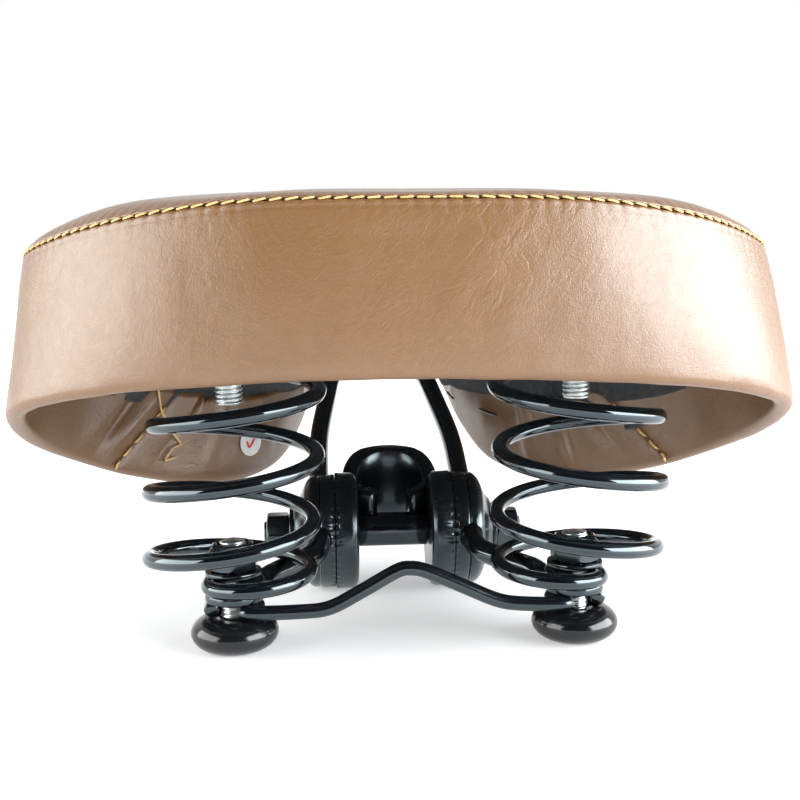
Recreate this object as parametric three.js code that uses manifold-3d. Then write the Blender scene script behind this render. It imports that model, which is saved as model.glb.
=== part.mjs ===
// Sprung bicycle saddle: padded cover on a moulded base, two coil springs, rails and seat-post clamp.
// Millimetres, +Z up, +Y to the nose, +X to the rider's right. The floor is z = 0.
import * as THREE from 'three';
import { mergeVertices } from 'three/addons/utils/BufferGeometryUtils.js';
import Module from 'manifold-3d';

const wasm = await Module();
wasm.setup();

// ---------------------------------------------------------------- driving dimensions
const GAP = 0.3;                    // clearance kept between pieces that touch
const HALF_LENGTH = 131;            // saddle is 262 long
const HALF_WIDTH = 115.4;           // and 231 wide

// Half outline from the middle of the back to the nose tip: x, y, height of lower rim, height of seam.
const OUTLINE = [
  [0, -HALF_LENGTH, 80.4, 124.3],
  [43, -129, 79.2, 123.6],
  [81, -118, 75.6, 119],
  [107, -95, 68.5, 113.3],
  [HALF_WIDTH, -66, 58, 109.6],
  [108, -38, 47.5, 107.5],
  [86, -14, 36, 106.5],
  [61, 4, 31, 106],
  [45, 22, 33.5, 106],
  [37, 42, 43, 106],
  [33, 62, 53.5, 106],
  [30.5, 84, 60.5, 105.5],
  [27, 106, 62, 105],
  [16.5, 124, 62, 104.5],
  [0, HALF_LENGTH, 62, 104],
];
const STATIONS_PER_SIDE = 19;       // loft stations along each half of the outline
const SPINE_REAR = -78;             // the top and the base close on this stretch of the centre line
const SPINE_FRONT = 106;

const CROWN_SHARES = [0.7, 0.4, 0.2, 0.07];   // where the crown is drawn between centre line and seam

// Height of the crown along the centre line: y, z.
const CROWN = [[SPINE_REAR, 130], [-40, 128.5], [0, 125], [50, 121], [SPINE_FRONT, 118]];

const SKIN = 1.4;                   // cover material with its backing
const TOP_SKIN = 2.2;
const SHELL = 2.2;                  // moulded base, wall thickness
const PLATE_Z = 90.5;               // middle of the base plate over the springs
const NOSE_PLATE_Z = 79;            // and in the nose
const PLATE_REACH = 30;             // how far in from the wall the base curves up to the plate
const WALL_TOP_Z = 66;              // the side walls of the base turn inward here
const REAR_WALL_RISE = 19;          // and this much higher round the back
const WALL_BULGE = 0.6;             // how far the cover bellies out between seam and rim
const FELT = 1.2;
const FELT_CLEAR = 1.4;             // between the base and its felt
const SIDE_SEAM_Y = -23;            // the rear and nose bands of the cover are sewn together here

const STUD_X = 49;                  // the springs stand on two studs
const STUD_Y = -85;
const STUD_RADIUS = 4;
const STUD_HOLE = STUD_RADIUS + GAP;
const FOOT_RADIUS = 12.5;
const FOOT_HEIGHT = 9.5;
const STUD_TOP_Z = 31;

const SPRING_WIRE = 4.5;
const SPRING_RADIUS = 23;           // to the middle of the wire
const SPRING_EYE_RADIUS = STUD_RADIUS + 2 * GAP + SPRING_WIRE / 2;
const SPRING_BOTTOM_Z = 18.95;
const SPRING_FIRST_COIL_Z = 27;     // height after the first turn, from where the wire climbs evenly
const SPRING_PITCH = 18.6;
const SPRING_TOP_Z = 86.3;
const SPRING_START_TURN = -0.7;
const SPRING_END_TURN = 5.05;

const RAIL_RADIUS = 3.5;
const RAIL_X = 24.5;
const RAIL_ANGLE = THREE.MathUtils.degToRad(22.5);
const RAIL_ABOVE_BOLT = 7.9;
const RAIL_STRAIGHT_END = 46;       // the clamp slides on the straight stretch, which ends here
const RAIL_EYE_Z = 15.15;
const RAIL_EYE_THICK = 2.5;
const RAIL_EYE_RADIUS = 8.2;
const RAIL_BEND = -23;              // behind the clamp by this much the rails turn out to the studs
const RAIL_KNEE = [18.8, 60, 63];   // where they level off on their way into the nose
const RAIL_LEVEL_Y = 87;
const RAIL_ROUNDINGS = [5, 12, 9, 6];
const NOSE_RAIL_X = 13.5;
const NOSE_RAIL_Z = 65.5;
const NOSE_RAIL_END_Y = 105;
const BRACKET_TOP_Z = 74.8;
const BRACKET_REAR_Y = 82;
const SLEEVE_RADIUS = 5.3;
const SLEEVE_LENGTH = 16;
const NOSE_BOLT_Y = [89, 101];
const SLEEVE_Y = 98;                // the seat rocks about this line through both sleeves
const ROCK_ANGLE = THREE.MathUtils.degToRad(6.5);
const NOSE_BOLT_RADIUS = 2.8;

const CROSS_WIRE_RADIUS = 2.1;
const CROSS_WIRE_Z = FOOT_HEIGHT + 0.2 + CROSS_WIRE_RADIUS;
// The wire's lift between the feet: x, height above its ends.
const CROSS_WIRE_LIFT = [
  [-44, 0], [-31, 0], [-22, 0.9], [-12.6, 5.6], [-3, 10.9], [1, 11.6],
  [5.5, 10.6], [15.4, 6.2], [25.5, 1.7], [33, 0.4], [44, 0],
];

const CLAMP_Y = -25;                // clamp bolt axis
const CLAMP_Z = 19.3;
const DISC_RADIUS = 19.3;
const EAR_INNER_X = 11.8;
const EAR_OUTER_X = 19.3;
const CHEEK_SPLIT_X = RAIL_X;
const CHEEK_OUTER_X = 33;
const CLAMP_BOLT_RADIUS = 4;
const CLAMP_BOLT_END_X = 43;
const POST_RADIUS = 11.1;           // for a 22.2 seat post
const POST_OFFSET_Y = 16;           // post axis ahead of the clamp bolt
const COLLAR_OUTER = 16.5;
const COLLAR_BOTTOM = -6;           // lower face of the collar, below the clamp bolt
const COLLAR_TOP = 20.2;            // top of its arched front wall, above the clamp bolt
const COLLAR_EAR_TOP = 12;          // and of the band where it leaves the ears
const COLLAR_TILT = THREE.MathUtils.degToRad(8);

// ---------------------------------------------------------------- materials
const finish = (color, roughness, metalness) =>
  new THREE.MeshStandardMaterial({ color, roughness, metalness });
const TAN = finish(0xb98563, 0.55, 0);
const BLACK_STEEL = finish(0x0d0e10, 0.25, 0.4);
const BLACK_PLASTIC = finish(0x141416, 0.6, 0);
const ZINC = finish(0xb9bcc0, 0.35, 0.9);
const FELT_BLACK = finish(0x1b1c1e, 0.95, 0);
const FOAM = finish(0xd9cfae, 0.9, 0);

const saddle = new THREE.Group();

function place(name, geometry, material) {
  const mesh = new THREE.Mesh(geometry, material);
  mesh.name = name;
  saddle.add(mesh);
  return mesh;
}

// ---------------------------------------------------------------- solids
function merged(geometry) {
  const bare = geometry.index ? geometry.toNonIndexed() : geometry.clone();
  bare.deleteAttribute('normal');
  bare.deleteAttribute('uv');
  return mergeVertices(bare, 1e-3);
}

function solid(geometry) {
  const welded = merged(geometry);
  const mesh = new wasm.Mesh({
    numProp: 3,
    vertProperties: Float32Array.from(welded.attributes.position.array),
    triVerts: Uint32Array.from(welded.index.array),
  });
  return new wasm.Manifold(mesh);
}

function geometryOf(body) {
  const mesh = body.getMesh();
  const geometry = new THREE.BufferGeometry();
  geometry.setAttribute('position', new THREE.BufferAttribute(mesh.vertProperties, 3));
  geometry.setIndex(new THREE.BufferAttribute(mesh.triVerts, 1));
  return geometry;
}

// A grid of points as a closed surface: rows wrap round; columns wrap too on a ring, and close on themselves
// on a disc because its first and last columns lie on the centre line.
function gridSurface(rows, columnsWrap) {
  const positions = [];
  const index = [];
  const width = rows[0].length;
  rows.forEach((row) => row.forEach((point) => positions.push(point.x, point.y, point.z)));
  const lastColumn = columnsWrap ? width : width - 1;
  for (let i = 0; i < rows.length; i += 1) {
    const next = (i + 1) % rows.length;
    for (let j = 0; j < lastColumn; j += 1) {
      const k = (j + 1) % width;
      const a = i * width + j;
      const b = next * width + j;
      const c = next * width + k;
      const d = i * width + k;
      index.push(a, b, c, a, c, d);
    }
  }
  const raw = new THREE.BufferGeometry();
  raw.setAttribute('position', new THREE.Float32BufferAttribute(positions, 3));
  raw.setIndex(index);
  return facingOut(withoutSlivers(merged(raw)));
}

function withoutSlivers(geometry) {
  const kept = [];
  const source = geometry.index.array;
  for (let i = 0; i < source.length; i += 3) {
    const [a, b, c] = [source[i], source[i + 1], source[i + 2]];
    if (a !== b && b !== c && c !== a) kept.push(a, b, c);
  }
  geometry.setIndex(kept);
  return geometry;
}

function signedVolume(geometry) {
  const position = geometry.attributes.position;
  const index = geometry.index.array;
  const corner = [new THREE.Vector3(), new THREE.Vector3(), new THREE.Vector3()];
  let volume = 0;
  for (let i = 0; i < index.length; i += 3) {
    corner.forEach((point, k) => point.fromBufferAttribute(position, index[i + k]));
    volume += corner[0].dot(corner[1].clone().cross(corner[2])) / 6;
  }
  return volume;
}

function facingOut(geometry) {
  if (signedVolume(geometry) < 0) {
    const index = geometry.index.array;
    for (let i = 0; i < index.length; i += 3) {
      [index[i + 1], index[i + 2]] = [index[i + 2], index[i + 1]];
    }
  }
  return geometry;
}

function upright(radius, bottom, top, sides = 24) {
  const geometry = new THREE.CylinderGeometry(radius, radius, top - bottom, sides);
  geometry.rotateX(Math.PI / 2);
  geometry.translate(0, 0, (bottom + top) / 2);
  return geometry;
}

function across(radius, from, to, sides = 32) {
  const geometry = new THREE.CylinderGeometry(radius, radius, to - from, sides);
  geometry.rotateZ(Math.PI / 2);
  geometry.translate((from + to) / 2, 0, 0);
  return geometry;
}

function box(x0, x1, y0, y1, z0, z1) {
  const geometry = new THREE.BoxGeometry(x1 - x0, y1 - y0, z1 - z0);
  geometry.translate((x0 + x1) / 2, (y0 + y1) / 2, (z0 + z1) / 2);
  return geometry;
}

// A lathe about +Z from a closed outline of [radius, z] points.
function turned(outline, sides) {
  const points = [...outline, outline[0]].map(([radius, z]) => new THREE.Vector2(radius, z));
  const geometry = new THREE.LatheGeometry(points, sides);
  geometry.rotateX(Math.PI / 2);
  return facingOut(withoutSlivers(merged(geometry)));
}

function ringAbout(innerRadius, outerRadius, bottom, top, sides = 16) {
  const bevel = 0.25;
  return turned([
    [innerRadius, bottom],
    [outerRadius, bottom],
    [outerRadius, top - bevel],
    [outerRadius - bevel, top],
    [innerRadius, top],
  ], sides);
}

// A hexagonal nut about +Z, with its corners turned off at both ends.
function nut(acrossFlats, holeRadius, bottom, top) {
  const corner = acrossFlats / Math.sqrt(3);
  const prism = solid(upright(corner, bottom, top, 6));
  const chamfer = solid(turned([
    [0, bottom],
    [acrossFlats / 2, bottom],
    [corner, bottom + 1],
    [corner, top - 1],
    [acrossFlats / 2, top],
    [0, top],
  ], 18));
  const hole = solid(upright(holeRadius, bottom - 1, top + 1, 14));
  return geometryOf(prism.intersect(chamfer).subtract(hole));
}

// A round bar along a curve.
function bar(path, radius, steps, sides) {
  const section = new THREE.Shape();
  for (let i = 0; i < sides; i += 1) {
    const angle = (2 * Math.PI * i) / sides;
    const x = radius * Math.cos(angle);
    const y = radius * Math.sin(angle);
    if (i === 0) section.moveTo(x, y);
    else section.lineTo(x, y);
  }
  section.closePath();
  const geometry = new THREE.ExtrudeGeometry(section, { steps, extrudePath: path });
  return facingOut(withoutSlivers(merged(geometry)));
}

// Straight runs joined by rounded corners.
function roundedPath(corners, roundings) {
  const path = new THREE.CurvePath();
  let from = corners[0];
  for (let i = 1; i < corners.length - 1; i += 1) {
    const corner = corners[i];
    const reach = roundings[i - 1];
    const entry = corner.clone().addScaledVector(corners[i - 1].clone().sub(corner).normalize(), reach);
    const exit = corner.clone().addScaledVector(corners[i + 1].clone().sub(corner).normalize(), reach);
    path.add(new THREE.LineCurve3(from, entry));
    path.add(new THREE.QuadraticBezierCurve3(entry, corner, exit));
    from = exit;
  }
  path.add(new THREE.LineCurve3(from, corners[corners.length - 1]));
  return path;
}

// ---------------------------------------------------------------- saddle outline
function closedCurve(column) {
  const right = OUTLINE.map((row) => new THREE.Vector3(row[0], row[1], row[column]));
  const left = right.slice(1, -1).reverse().map((point) => new THREE.Vector3(-point.x, point.y, point.z));
  return new THREE.CatmullRomCurve3([...right, ...left], true, 'catmullrom', 0.5);
}

function crownHeight(y) {
  const clamped = THREE.MathUtils.clamp(y, SPINE_REAR, SPINE_FRONT);
  const last = CROWN.length - 2;
  const i = Math.min(last, CROWN.findIndex((row, k) => k > 0 && clamped <= row[0]) - 1);
  const t = THREE.MathUtils.smoothstep(clamped, CROWN[i][0], CROWN[i + 1][0]);
  return THREE.MathUtils.lerp(CROWN[i][1], CROWN[i + 1][1], t);
}

// Stations go once round the outline. Each has its edge point, its inward direction and its own point on
// the centre line.
function outlineStations() {
  const rimCurve = closedCurve(2);
  const seamCurve = closedCurve(3);
  const half = [];
  for (let i = 0; i <= STATIONS_PER_SIDE; i += 1) {
    const t = (0.5 * i) / STATIONS_PER_SIDE;
    const edge = rimCurve.getPoint(t);
    const tangent = rimCurve.getTangent(t);
    const inward = new THREE.Vector3(-tangent.y, tangent.x, 0).normalize();
    const onEnd = i === 0 || i === STATIONS_PER_SIDE;
    const along = (edge.y + HALF_LENGTH) / (2 * HALF_LENGTH);
    const spineY = THREE.MathUtils.lerp(SPINE_REAR, SPINE_FRONT, along);
    half.push({
      x: onEnd ? 0 : edge.x,
      y: edge.y,
      inX: onEnd ? 0 : inward.x,
      inY: onEnd ? Math.sign(inward.y) : inward.y,
      rim: edge.z,
      seam: seamCurve.getPoint(t).z,
      spineY,
    });
  }
  const mirrored = half.slice(1, -1).reverse().map((s) => ({ ...s, x: -s.x, inX: -s.inX }));
  return [...half, ...mirrored];
}

const stations = outlineStations();

// A point `inset` in from the edge, at height z.
function insetPoint(station, inset, z) {
  return new THREE.Vector3(station.x + station.inX * inset, station.y + station.inY * inset, z);
}

// A point `reach` mm along the way from the wall to the centre line, or on it when the way is shorter.
function reachPoint(station, inset, reach, z) {
  const wall = insetPoint(station, inset, 0);
  const spine = new THREE.Vector3(0, station.spineY, 0);
  const share = Math.min(reach / wall.distanceTo(spine), 0.92);
  const point = wall.lerp(spine, share);
  return point.setZ(z);
}

function spinePoint(station, z) {
  return new THREE.Vector3(0, station.spineY, z);
}

// ---------------------------------------------------------------- cover, foam and base
function topRow(station, drop, inset) {
  const centre = crownHeight(station.spineY) - drop;
  const edge = station.seam + 0.15 - Math.max(0, drop - TOP_SKIN);
  const row = [spinePoint(station, centre)];
  const wall = insetPoint(station, inset, edge);
  const spine = spinePoint(station, edge);
  for (const share of CROWN_SHARES) {
    const rise = 1 - (1 - share) ** 2.4;
    const point = wall.clone().lerp(spine, share);
    row.push(point.setZ(edge + (centre - edge) * rise));
  }
  return row;
}

function coverTop() {
  return gridSurface(stations.map((station) => {
    const upper = topRow(station, 0, 0);
    const lower = topRow(station, TOP_SKIN, SKIN + 0.6).reverse();
    const edge = [
      insetPoint(station, 0.6, station.seam + 1.6),
      insetPoint(station, 0.1, station.seam + 0.9),
      insetPoint(station, 0.2, station.seam + 0.15),
      insetPoint(station, SKIN + 0.6, station.seam + 0.15),
    ];
    return [...upper, ...edge, ...lower];
  }), false);
}

// Outer wall, rolled lip and the turned-in inner wall that is stapled to the base.
function coverBandRing() {
  const lip = 2 * SKIN + SHELL + 2 * GAP;
  return gridSurface(stations.map((station) => {
    const { rim, seam } = station;
    const inner = innerWallTop(station);
    return [
      insetPoint(station, 0, seam - 0.15),
      insetPoint(station, -WALL_BULGE, seam - (seam - rim) * 0.3),
      insetPoint(station, -WALL_BULGE, seam - (seam - rim) * 0.7),
      insetPoint(station, 0, rim + 3),
      insetPoint(station, lip * 0.12, rim + 1.1),
      insetPoint(station, lip * 0.32, rim + 0.15),
      insetPoint(station, lip * 0.68, rim + 0.15),
      insetPoint(station, lip * 0.88, rim + 1.1),
      insetPoint(station, lip, rim + 3),
      insetPoint(station, lip, inner),
      insetPoint(station, lip - SKIN, inner),
      insetPoint(station, lip - SKIN, rim + 2),
      insetPoint(station, SKIN, rim + 2),
      insetPoint(station, SKIN - WALL_BULGE, seam - (seam - rim) * 0.7),
      insetPoint(station, SKIN - WALL_BULGE, seam - (seam - rim) * 0.3),
      insetPoint(station, SKIN, seam - 0.15),
    ];
  }), true);
}

// The ring is sewn from two bands that meet at a seam on each side.
function coverBand(fromY, toY) {
  const slab = box(-200, 200, fromY, toY, 0, 200);
  return geometryOf(solid(coverBandRing()).intersect(solid(slab)));
}

function wallTop(station) {
  const rearRise = REAR_WALL_RISE * THREE.MathUtils.smoothstep(-station.y, 12, 80);
  return Math.max(station.rim + 7, WALL_TOP_Z + rearRise);
}

function innerWallTop(station) {
  return wallTop(station) - 1.5;
}

const WALL_INSET = SKIN + GAP + SHELL / 2;

function plateHeight(station) {
  const toNose = THREE.MathUtils.smoothstep(station.spineY, 20, 84);
  return THREE.MathUtils.lerp(PLATE_Z, NOSE_PLATE_Z, toNose);
}

// The base runs from the wall inward and up to the flat plate: [reach from the wall, height].
function baseLine(station) {
  const top = wallTop(station);
  const plate = plateHeight(station);
  const rise = plate - top;
  const toSpine = insetPoint(station, WALL_INSET, 0).distanceTo(spinePoint(station, 0));
  const reach = Math.min(PLATE_REACH, 0.55 * toSpine);
  return [
    [0, station.rim + 3],
    [0, top],
    [reach * 0.12, top + rise * 0.35],
    [reach * 0.4, top + rise * 0.75],
    [reach, plate],
  ];
}

// The base line moved sideways by `offset`: positive is up and out.
function offsetLine(line, offset) {
  return line.map(([reach, z], i) => {
    const before = line[Math.max(i - 1, 0)];
    const after = line[Math.min(i + 1, line.length - 1)];
    const length = Math.hypot(after[0] - before[0], after[1] - before[1]);
    const across = [before[1] - after[1], after[0] - before[0]];
    return [reach + (across[0] / length) * offset, z + (across[1] / length) * offset];
  });
}

function linePoint(station, [reach, z]) {
  if (reach <= 0) return insetPoint(station, WALL_INSET + reach, z);
  return reachPoint(station, WALL_INSET, reach, z);
}

function sheetOnBase(firstPoint, offset, thickness) {
  return gridSurface(stations.map((station) => {
    const line = baseLine(station);
    const upper = offsetLine(line, offset + thickness / 2).slice(firstPoint);
    const lower = offsetLine(line, offset - thickness / 2).slice(firstPoint);
    return [
      spinePoint(station, plateHeight(station) + offset + thickness / 2),
      ...upper.reverse().map((entry) => linePoint(station, entry)),
      ...lower.map((entry) => linePoint(station, entry)),
      spinePoint(station, plateHeight(station) + offset - thickness / 2),
    ];
  }), false);
}

function drilled(geometry, holes) {
  let body = solid(geometry);
  for (const [x, y, radius, bottom, top] of holes) {
    const drill = upright(radius, bottom, top, 20);
    drill.translate(x, y, 0);
    body = body.subtract(solid(drill));
  }
  return geometryOf(body);
}

const PLATE_UNDER = PLATE_Z - SHELL / 2;
const PLATE_OVER = PLATE_Z + SHELL / 2;

function studHoles(radius, bottom, top) {
  return [[-STUD_X, STUD_Y, radius, bottom, top], [STUD_X, STUD_Y, radius, bottom, top]];
}

function noseHoles(radius, bottom, top) {
  return NOSE_BOLT_Y.map((y) => [0, y, radius, bottom, top]);
}

function baseShell() {
  const whole = sheetOnBase(0, 0, SHELL);
  return drilled(whole, [
    ...studHoles(STUD_HOLE, PLATE_UNDER - 5, PLATE_OVER + 5),
    ...noseHoles(NOSE_BOLT_RADIUS + GAP, NOSE_PLATE_Z - 5, NOSE_PLATE_Z + 5),
  ]);
}

function feltLiner() {
  const whole = sheetOnBase(2, -(SHELL / 2 + FELT_CLEAR + FELT / 2), FELT);
  const bottom = PLATE_UNDER - 8;
  return drilled(whole, [
    ...studHoles(14, bottom, PLATE_UNDER + 1),
    ...noseHoles(4, bottom - 12, PLATE_UNDER + 1),
  ]);
}

function foamPad() {
  const clear = SHELL / 2 + 0.5;
  const whole = gridSurface(stations.map((station) => {
    const upper = topRow(station, TOP_SKIN + 0.6, SKIN + 1.6);
    const line = offsetLine(baseLine(station), clear + 0.4).slice(2);
    const low = Math.max(wallTop(station) + 4, line[0][1]);
    return [
      ...upper,
      insetPoint(station, SKIN + 1.2, station.seam - 2.5),
      insetPoint(station, SKIN + 0.8, station.seam - 6),
      insetPoint(station, SKIN + 0.8, low + 1.5),
      ...line.map((entry) => linePoint(station, [Math.max(entry[0], 1.5), entry[1] + 1])),
      spinePoint(station, plateHeight(station) + clear + 1.2),
    ];
  }), false);
  return drilled(whole, [
    ...studHoles(9.5, PLATE_Z, PLATE_OVER + 5),
    ...noseHoles(4, NOSE_PLATE_Z, NOSE_PLATE_Z + 4),
  ]);
}

place('cover_top', coverTop(), TAN);
place('cover_rear_band', coverBand(-HALF_LENGTH - 10, SIDE_SEAM_Y - GAP / 2), TAN);
place('cover_nose_band', coverBand(SIDE_SEAM_Y + GAP / 2, HALF_LENGTH + 10), TAN);
place('foam_pad', foamPad(), FOAM);
place('base_shell', baseShell(), BLACK_PLASTIC);
place('felt_liner', feltLiner(), FELT_BLACK);

// ---------------------------------------------------------------- springs, studs and feet
// The wire starts as an eye round the stud, opens out over the first turn, climbs, and closes on the top
// bolt.
class SpringWire extends THREE.Curve {
  constructor(side) {
    super();
    this.side = side;
  }

  // Even steps of turn, so the small eyes keep as many steps as the large coils.
  getUtoTmapping(share) {
    return share;
  }

  getPoint(share, target = new THREE.Vector3()) {
    const turn = THREE.MathUtils.lerp(SPRING_START_TURN, SPRING_END_TURN, share);
    const opened = THREE.MathUtils.smoothstep(turn, 0, 0.62) - THREE.MathUtils.smoothstep(turn, 3.55, 4.45);
    const radius = SPRING_EYE_RADIUS + (SPRING_RADIUS - SPRING_EYE_RADIUS) * opened;
    const angle = Math.PI + 2 * Math.PI * turn;
    return target.set(
      this.side * -radius * Math.cos(angle),
      radius * Math.sin(angle),
      this.heightAt(turn),
    );
  }

  heightAt(turn) {
    if (turn <= 0) return SPRING_BOTTOM_Z;
    if (turn < 1) return THREE.MathUtils.lerp(SPRING_BOTTOM_Z, SPRING_FIRST_COIL_Z, turn ** 1.7);
    return Math.min(SPRING_FIRST_COIL_Z + SPRING_PITCH * (turn - 1), SPRING_TOP_Z);
  }
}

function spring(side) {
  const geometry = bar(new SpringWire(side), SPRING_WIRE / 2, 69, 7);
  geometry.translate(side * STUD_X, STUD_Y, 0);
  return geometry;
}

function foot() {
  const socketBottom = 3;
  return turned([
    [0, 0],
    [8, 0],
    [10.8, 1.3],
    [FOOT_RADIUS, 4.2],
    [FOOT_RADIUS - 0.3, 6.4],
    [10.6, 8.6],
    [8.4, FOOT_HEIGHT],
    [STUD_HOLE, FOOT_HEIGHT],
    [STUD_HOLE, socketBottom],
    [0, socketBottom],
  ], 16);
}

function topBolt() {
  const shank = solid(upright(STUD_RADIUS, 70, PLATE_OVER + 1, 14));
  const head = solid(turned([
    [0, PLATE_OVER + GAP],
    [8.5, PLATE_OVER + GAP],
    [8, PLATE_OVER + 1.6],
    [5, PLATE_OVER + 3.2],
    [0, PLATE_OVER + 3.6],
  ], 16));
  return geometryOf(shank.add(head));
}

const WASHER_BOTTOM_Z = SPRING_BOTTOM_Z + SPRING_WIRE / 2 + 0.2;
const WASHER_THICK = 1.5;
const NUT_BOTTOM_Z = WASHER_BOTTOM_Z + WASHER_THICK + 0.2;
const TOP_WASHER_TOP_Z = SPRING_TOP_Z - SPRING_WIRE / 2 - 0.2;
const TOP_NUT_TOP_Z = TOP_WASHER_TOP_Z - WASHER_THICK - 0.2;

function lockNut() {
  const hex = solid(nut(13, STUD_HOLE, NUT_BOTTOM_Z, NUT_BOTTOM_Z + 6));
  const collar = solid(ringAbout(STUD_HOLE, 5.6, NUT_BOTTOM_Z + 5, NUT_BOTTOM_Z + 7.6));
  return geometryOf(hex.add(collar));
}

for (const [side, word] of [[-1, 'left'], [1, 'right']]) {
  const standing = [
    [`foot_${word}`, foot(), BLACK_PLASTIC],
    [`stud_${word}`, upright(STUD_RADIUS, 3.3, STUD_TOP_Z + 0.5, 14), ZINC],
    [`spring_washer_${word}`, ringAbout(STUD_HOLE, 8, WASHER_BOTTOM_Z, WASHER_BOTTOM_Z + WASHER_THICK), ZINC],
    [`lock_nut_${word}`, lockNut(), BLACK_STEEL],
    [`top_bolt_${word}`, topBolt(), ZINC],
    [`top_washer_${word}`, ringAbout(STUD_HOLE, 8, TOP_WASHER_TOP_Z - WASHER_THICK, TOP_WASHER_TOP_Z), ZINC],
    [`top_nut_${word}`, nut(13, STUD_HOLE, TOP_NUT_TOP_Z - 4.8, TOP_NUT_TOP_Z), ZINC],
  ];
  for (const [name, geometry, material] of standing) {
    geometry.translate(side * STUD_X, STUD_Y, 0);
    place(name, geometry, material);
  }
  place(`spring_${word}`, spring(side), BLACK_STEEL);
}

// ---------------------------------------------------------------- rails and cross wire
const ALONG = new THREE.Vector3(0, Math.cos(RAIL_ANGLE), Math.sin(RAIL_ANGLE));

function railLinePoint(side, travel) {
  return new THREE.Vector3(
    side * RAIL_X,
    CLAMP_Y - RAIL_ABOVE_BOLT * Math.sin(RAIL_ANGLE) + ALONG.y * travel,
    CLAMP_Z + RAIL_ABOVE_BOLT * Math.cos(RAIL_ANGLE) + ALONG.z * travel,
  );
}

function railPath(side) {
  const stud = new THREE.Vector3(side * STUD_X, STUD_Y, RAIL_EYE_Z);
  const bend = railLinePoint(side, RAIL_BEND);
  const toBend = bend.clone().sub(stud).normalize();
  const start = stud.clone().addScaledVector(toBend, RAIL_EYE_RADIUS + 2.8).setZ(RAIL_EYE_Z + 1.2);
  const [kneeX, kneeY, kneeZ] = RAIL_KNEE;
  return roundedPath([
    start,
    bend,
    railLinePoint(side, RAIL_STRAIGHT_END),
    new THREE.Vector3(side * kneeX, kneeY, kneeZ),
    new THREE.Vector3(side * NOSE_RAIL_X, RAIL_LEVEL_Y, NOSE_RAIL_Z),
    new THREE.Vector3(side * NOSE_RAIL_X, NOSE_RAIL_END_Y, NOSE_RAIL_Z),
  ], RAIL_ROUNDINGS);
}

// The back end of the rail is pressed flat into an eye that sits on the stud.
function rail(side) {
  const rod = solid(bar(railPath(side), RAIL_RADIUS, 32, 8));
  const flatBottom = RAIL_EYE_Z - RAIL_EYE_THICK / 2;
  const flatTop = RAIL_EYE_Z + RAIL_EYE_THICK / 2;
  const eye = solid(upright(RAIL_EYE_RADIUS, flatBottom, flatTop, 20));
  const neck = box(0, 15, -3.8, 3.8, flatBottom, flatTop);
  const bend = railLinePoint(side, RAIL_BEND);
  neck.rotateZ(Math.atan2(bend.y - STUD_Y, bend.x - side * STUD_X));
  const hole = solid(upright(STUD_HOLE, flatBottom - 1, flatTop + 1, 20));
  const flat = eye.add(solid(neck)).subtract(hole).translate([side * STUD_X, STUD_Y, 0]);
  return geometryOf(rod.add(flat));
}

// One wire loops round both studs and lifts over the middle. It was bent by hand, so the lift is not even.
function crossWirePoints() {
  const loop = STUD_RADIUS + 2 * GAP + CROSS_WIRE_RADIUS;
  const loopSteps = 8;
  const points = [];
  for (let i = 0; i < loopSteps; i += 1) {
    const angle = THREE.MathUtils.lerp(0.1, -1.5, i / loopSteps) * Math.PI;
    const [x, y] = [-STUD_X - loop * Math.cos(angle), STUD_Y - loop * Math.sin(angle)];
    points.push(new THREE.Vector3(x, y, CROSS_WIRE_Z));
  }
  const rear = STUD_Y - loop;
  CROSS_WIRE_LIFT.forEach(([x, rise]) => points.push(new THREE.Vector3(x, rear, CROSS_WIRE_Z + rise)));
  for (let i = 1; i <= loopSteps; i += 1) {
    const angle = THREE.MathUtils.lerp(-1.5, 0.1, i / loopSteps) * Math.PI;
    const [x, y] = [STUD_X + loop * Math.cos(angle), STUD_Y - loop * Math.sin(angle)];
    points.push(new THREE.Vector3(x, y, CROSS_WIRE_Z));
  }
  return points;
}

function crossWire() {
  const path = new THREE.CatmullRomCurve3(crossWirePoints(), false, 'centripetal');
  return bar(path, CROSS_WIRE_RADIUS, 54, 6);
}

// The bracket rocks on the rails as the springs give, so its bores are opened along that rocking.
function railBore(side, rock) {
  const radius = RAIL_RADIUS + GAP + 0.1;
  const bore = new THREE.CylinderGeometry(radius, radius, 60, 14);
  bore.rotateX(rock);
  bore.translate(side * NOSE_RAIL_X, SLEEVE_Y, NOSE_RAIL_Z);
  return solid(bore);
}

// A pressed bracket under the nose holds both rails in sleeves and is bolted up to the base.
function noseBracket() {
  const [rear, front] = [BRACKET_REAR_Y, NOSE_RAIL_END_Y + 2];
  const underside = NOSE_RAIL_Z + 1;
  const strap = solid(box(-15, 15, rear, front, underside, underside + 3.5));
  let body = strap.add(solid(box(-6, 6, rear, front, underside, BRACKET_TOP_Z)));
  for (const side of [-1, 1]) {
    const sleeve = new THREE.CylinderGeometry(SLEEVE_RADIUS, SLEEVE_RADIUS, SLEEVE_LENGTH, 16);
    sleeve.translate(side * NOSE_RAIL_X, SLEEVE_Y, NOSE_RAIL_Z);
    body = body.add(solid(sleeve));
  }
  for (const side of [-1, 1]) {
    for (const rock of [0, 0.5, 1]) body = body.subtract(railBore(side, -rock * ROCK_ANGLE));
  }
  for (const y of NOSE_BOLT_Y) {
    const hole = upright(NOSE_BOLT_RADIUS + GAP, 50, 100, 12);
    hole.translate(0, y, 0);
    body = body.subtract(solid(hole));
  }
  return geometryOf(body);
}

function noseBolt(y) {
  const headTop = NOSE_RAIL_Z + 1 - GAP;
  const shank = solid(upright(NOSE_BOLT_RADIUS, headTop - 1, NOSE_PLATE_Z + SHELL / 2 - 0.2, 12));
  const head = solid(upright(5.8, headTop - 4, headTop, 6));
  const bolt = geometryOf(shank.add(head));
  bolt.translate(0, y, 0);
  return bolt;
}

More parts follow.
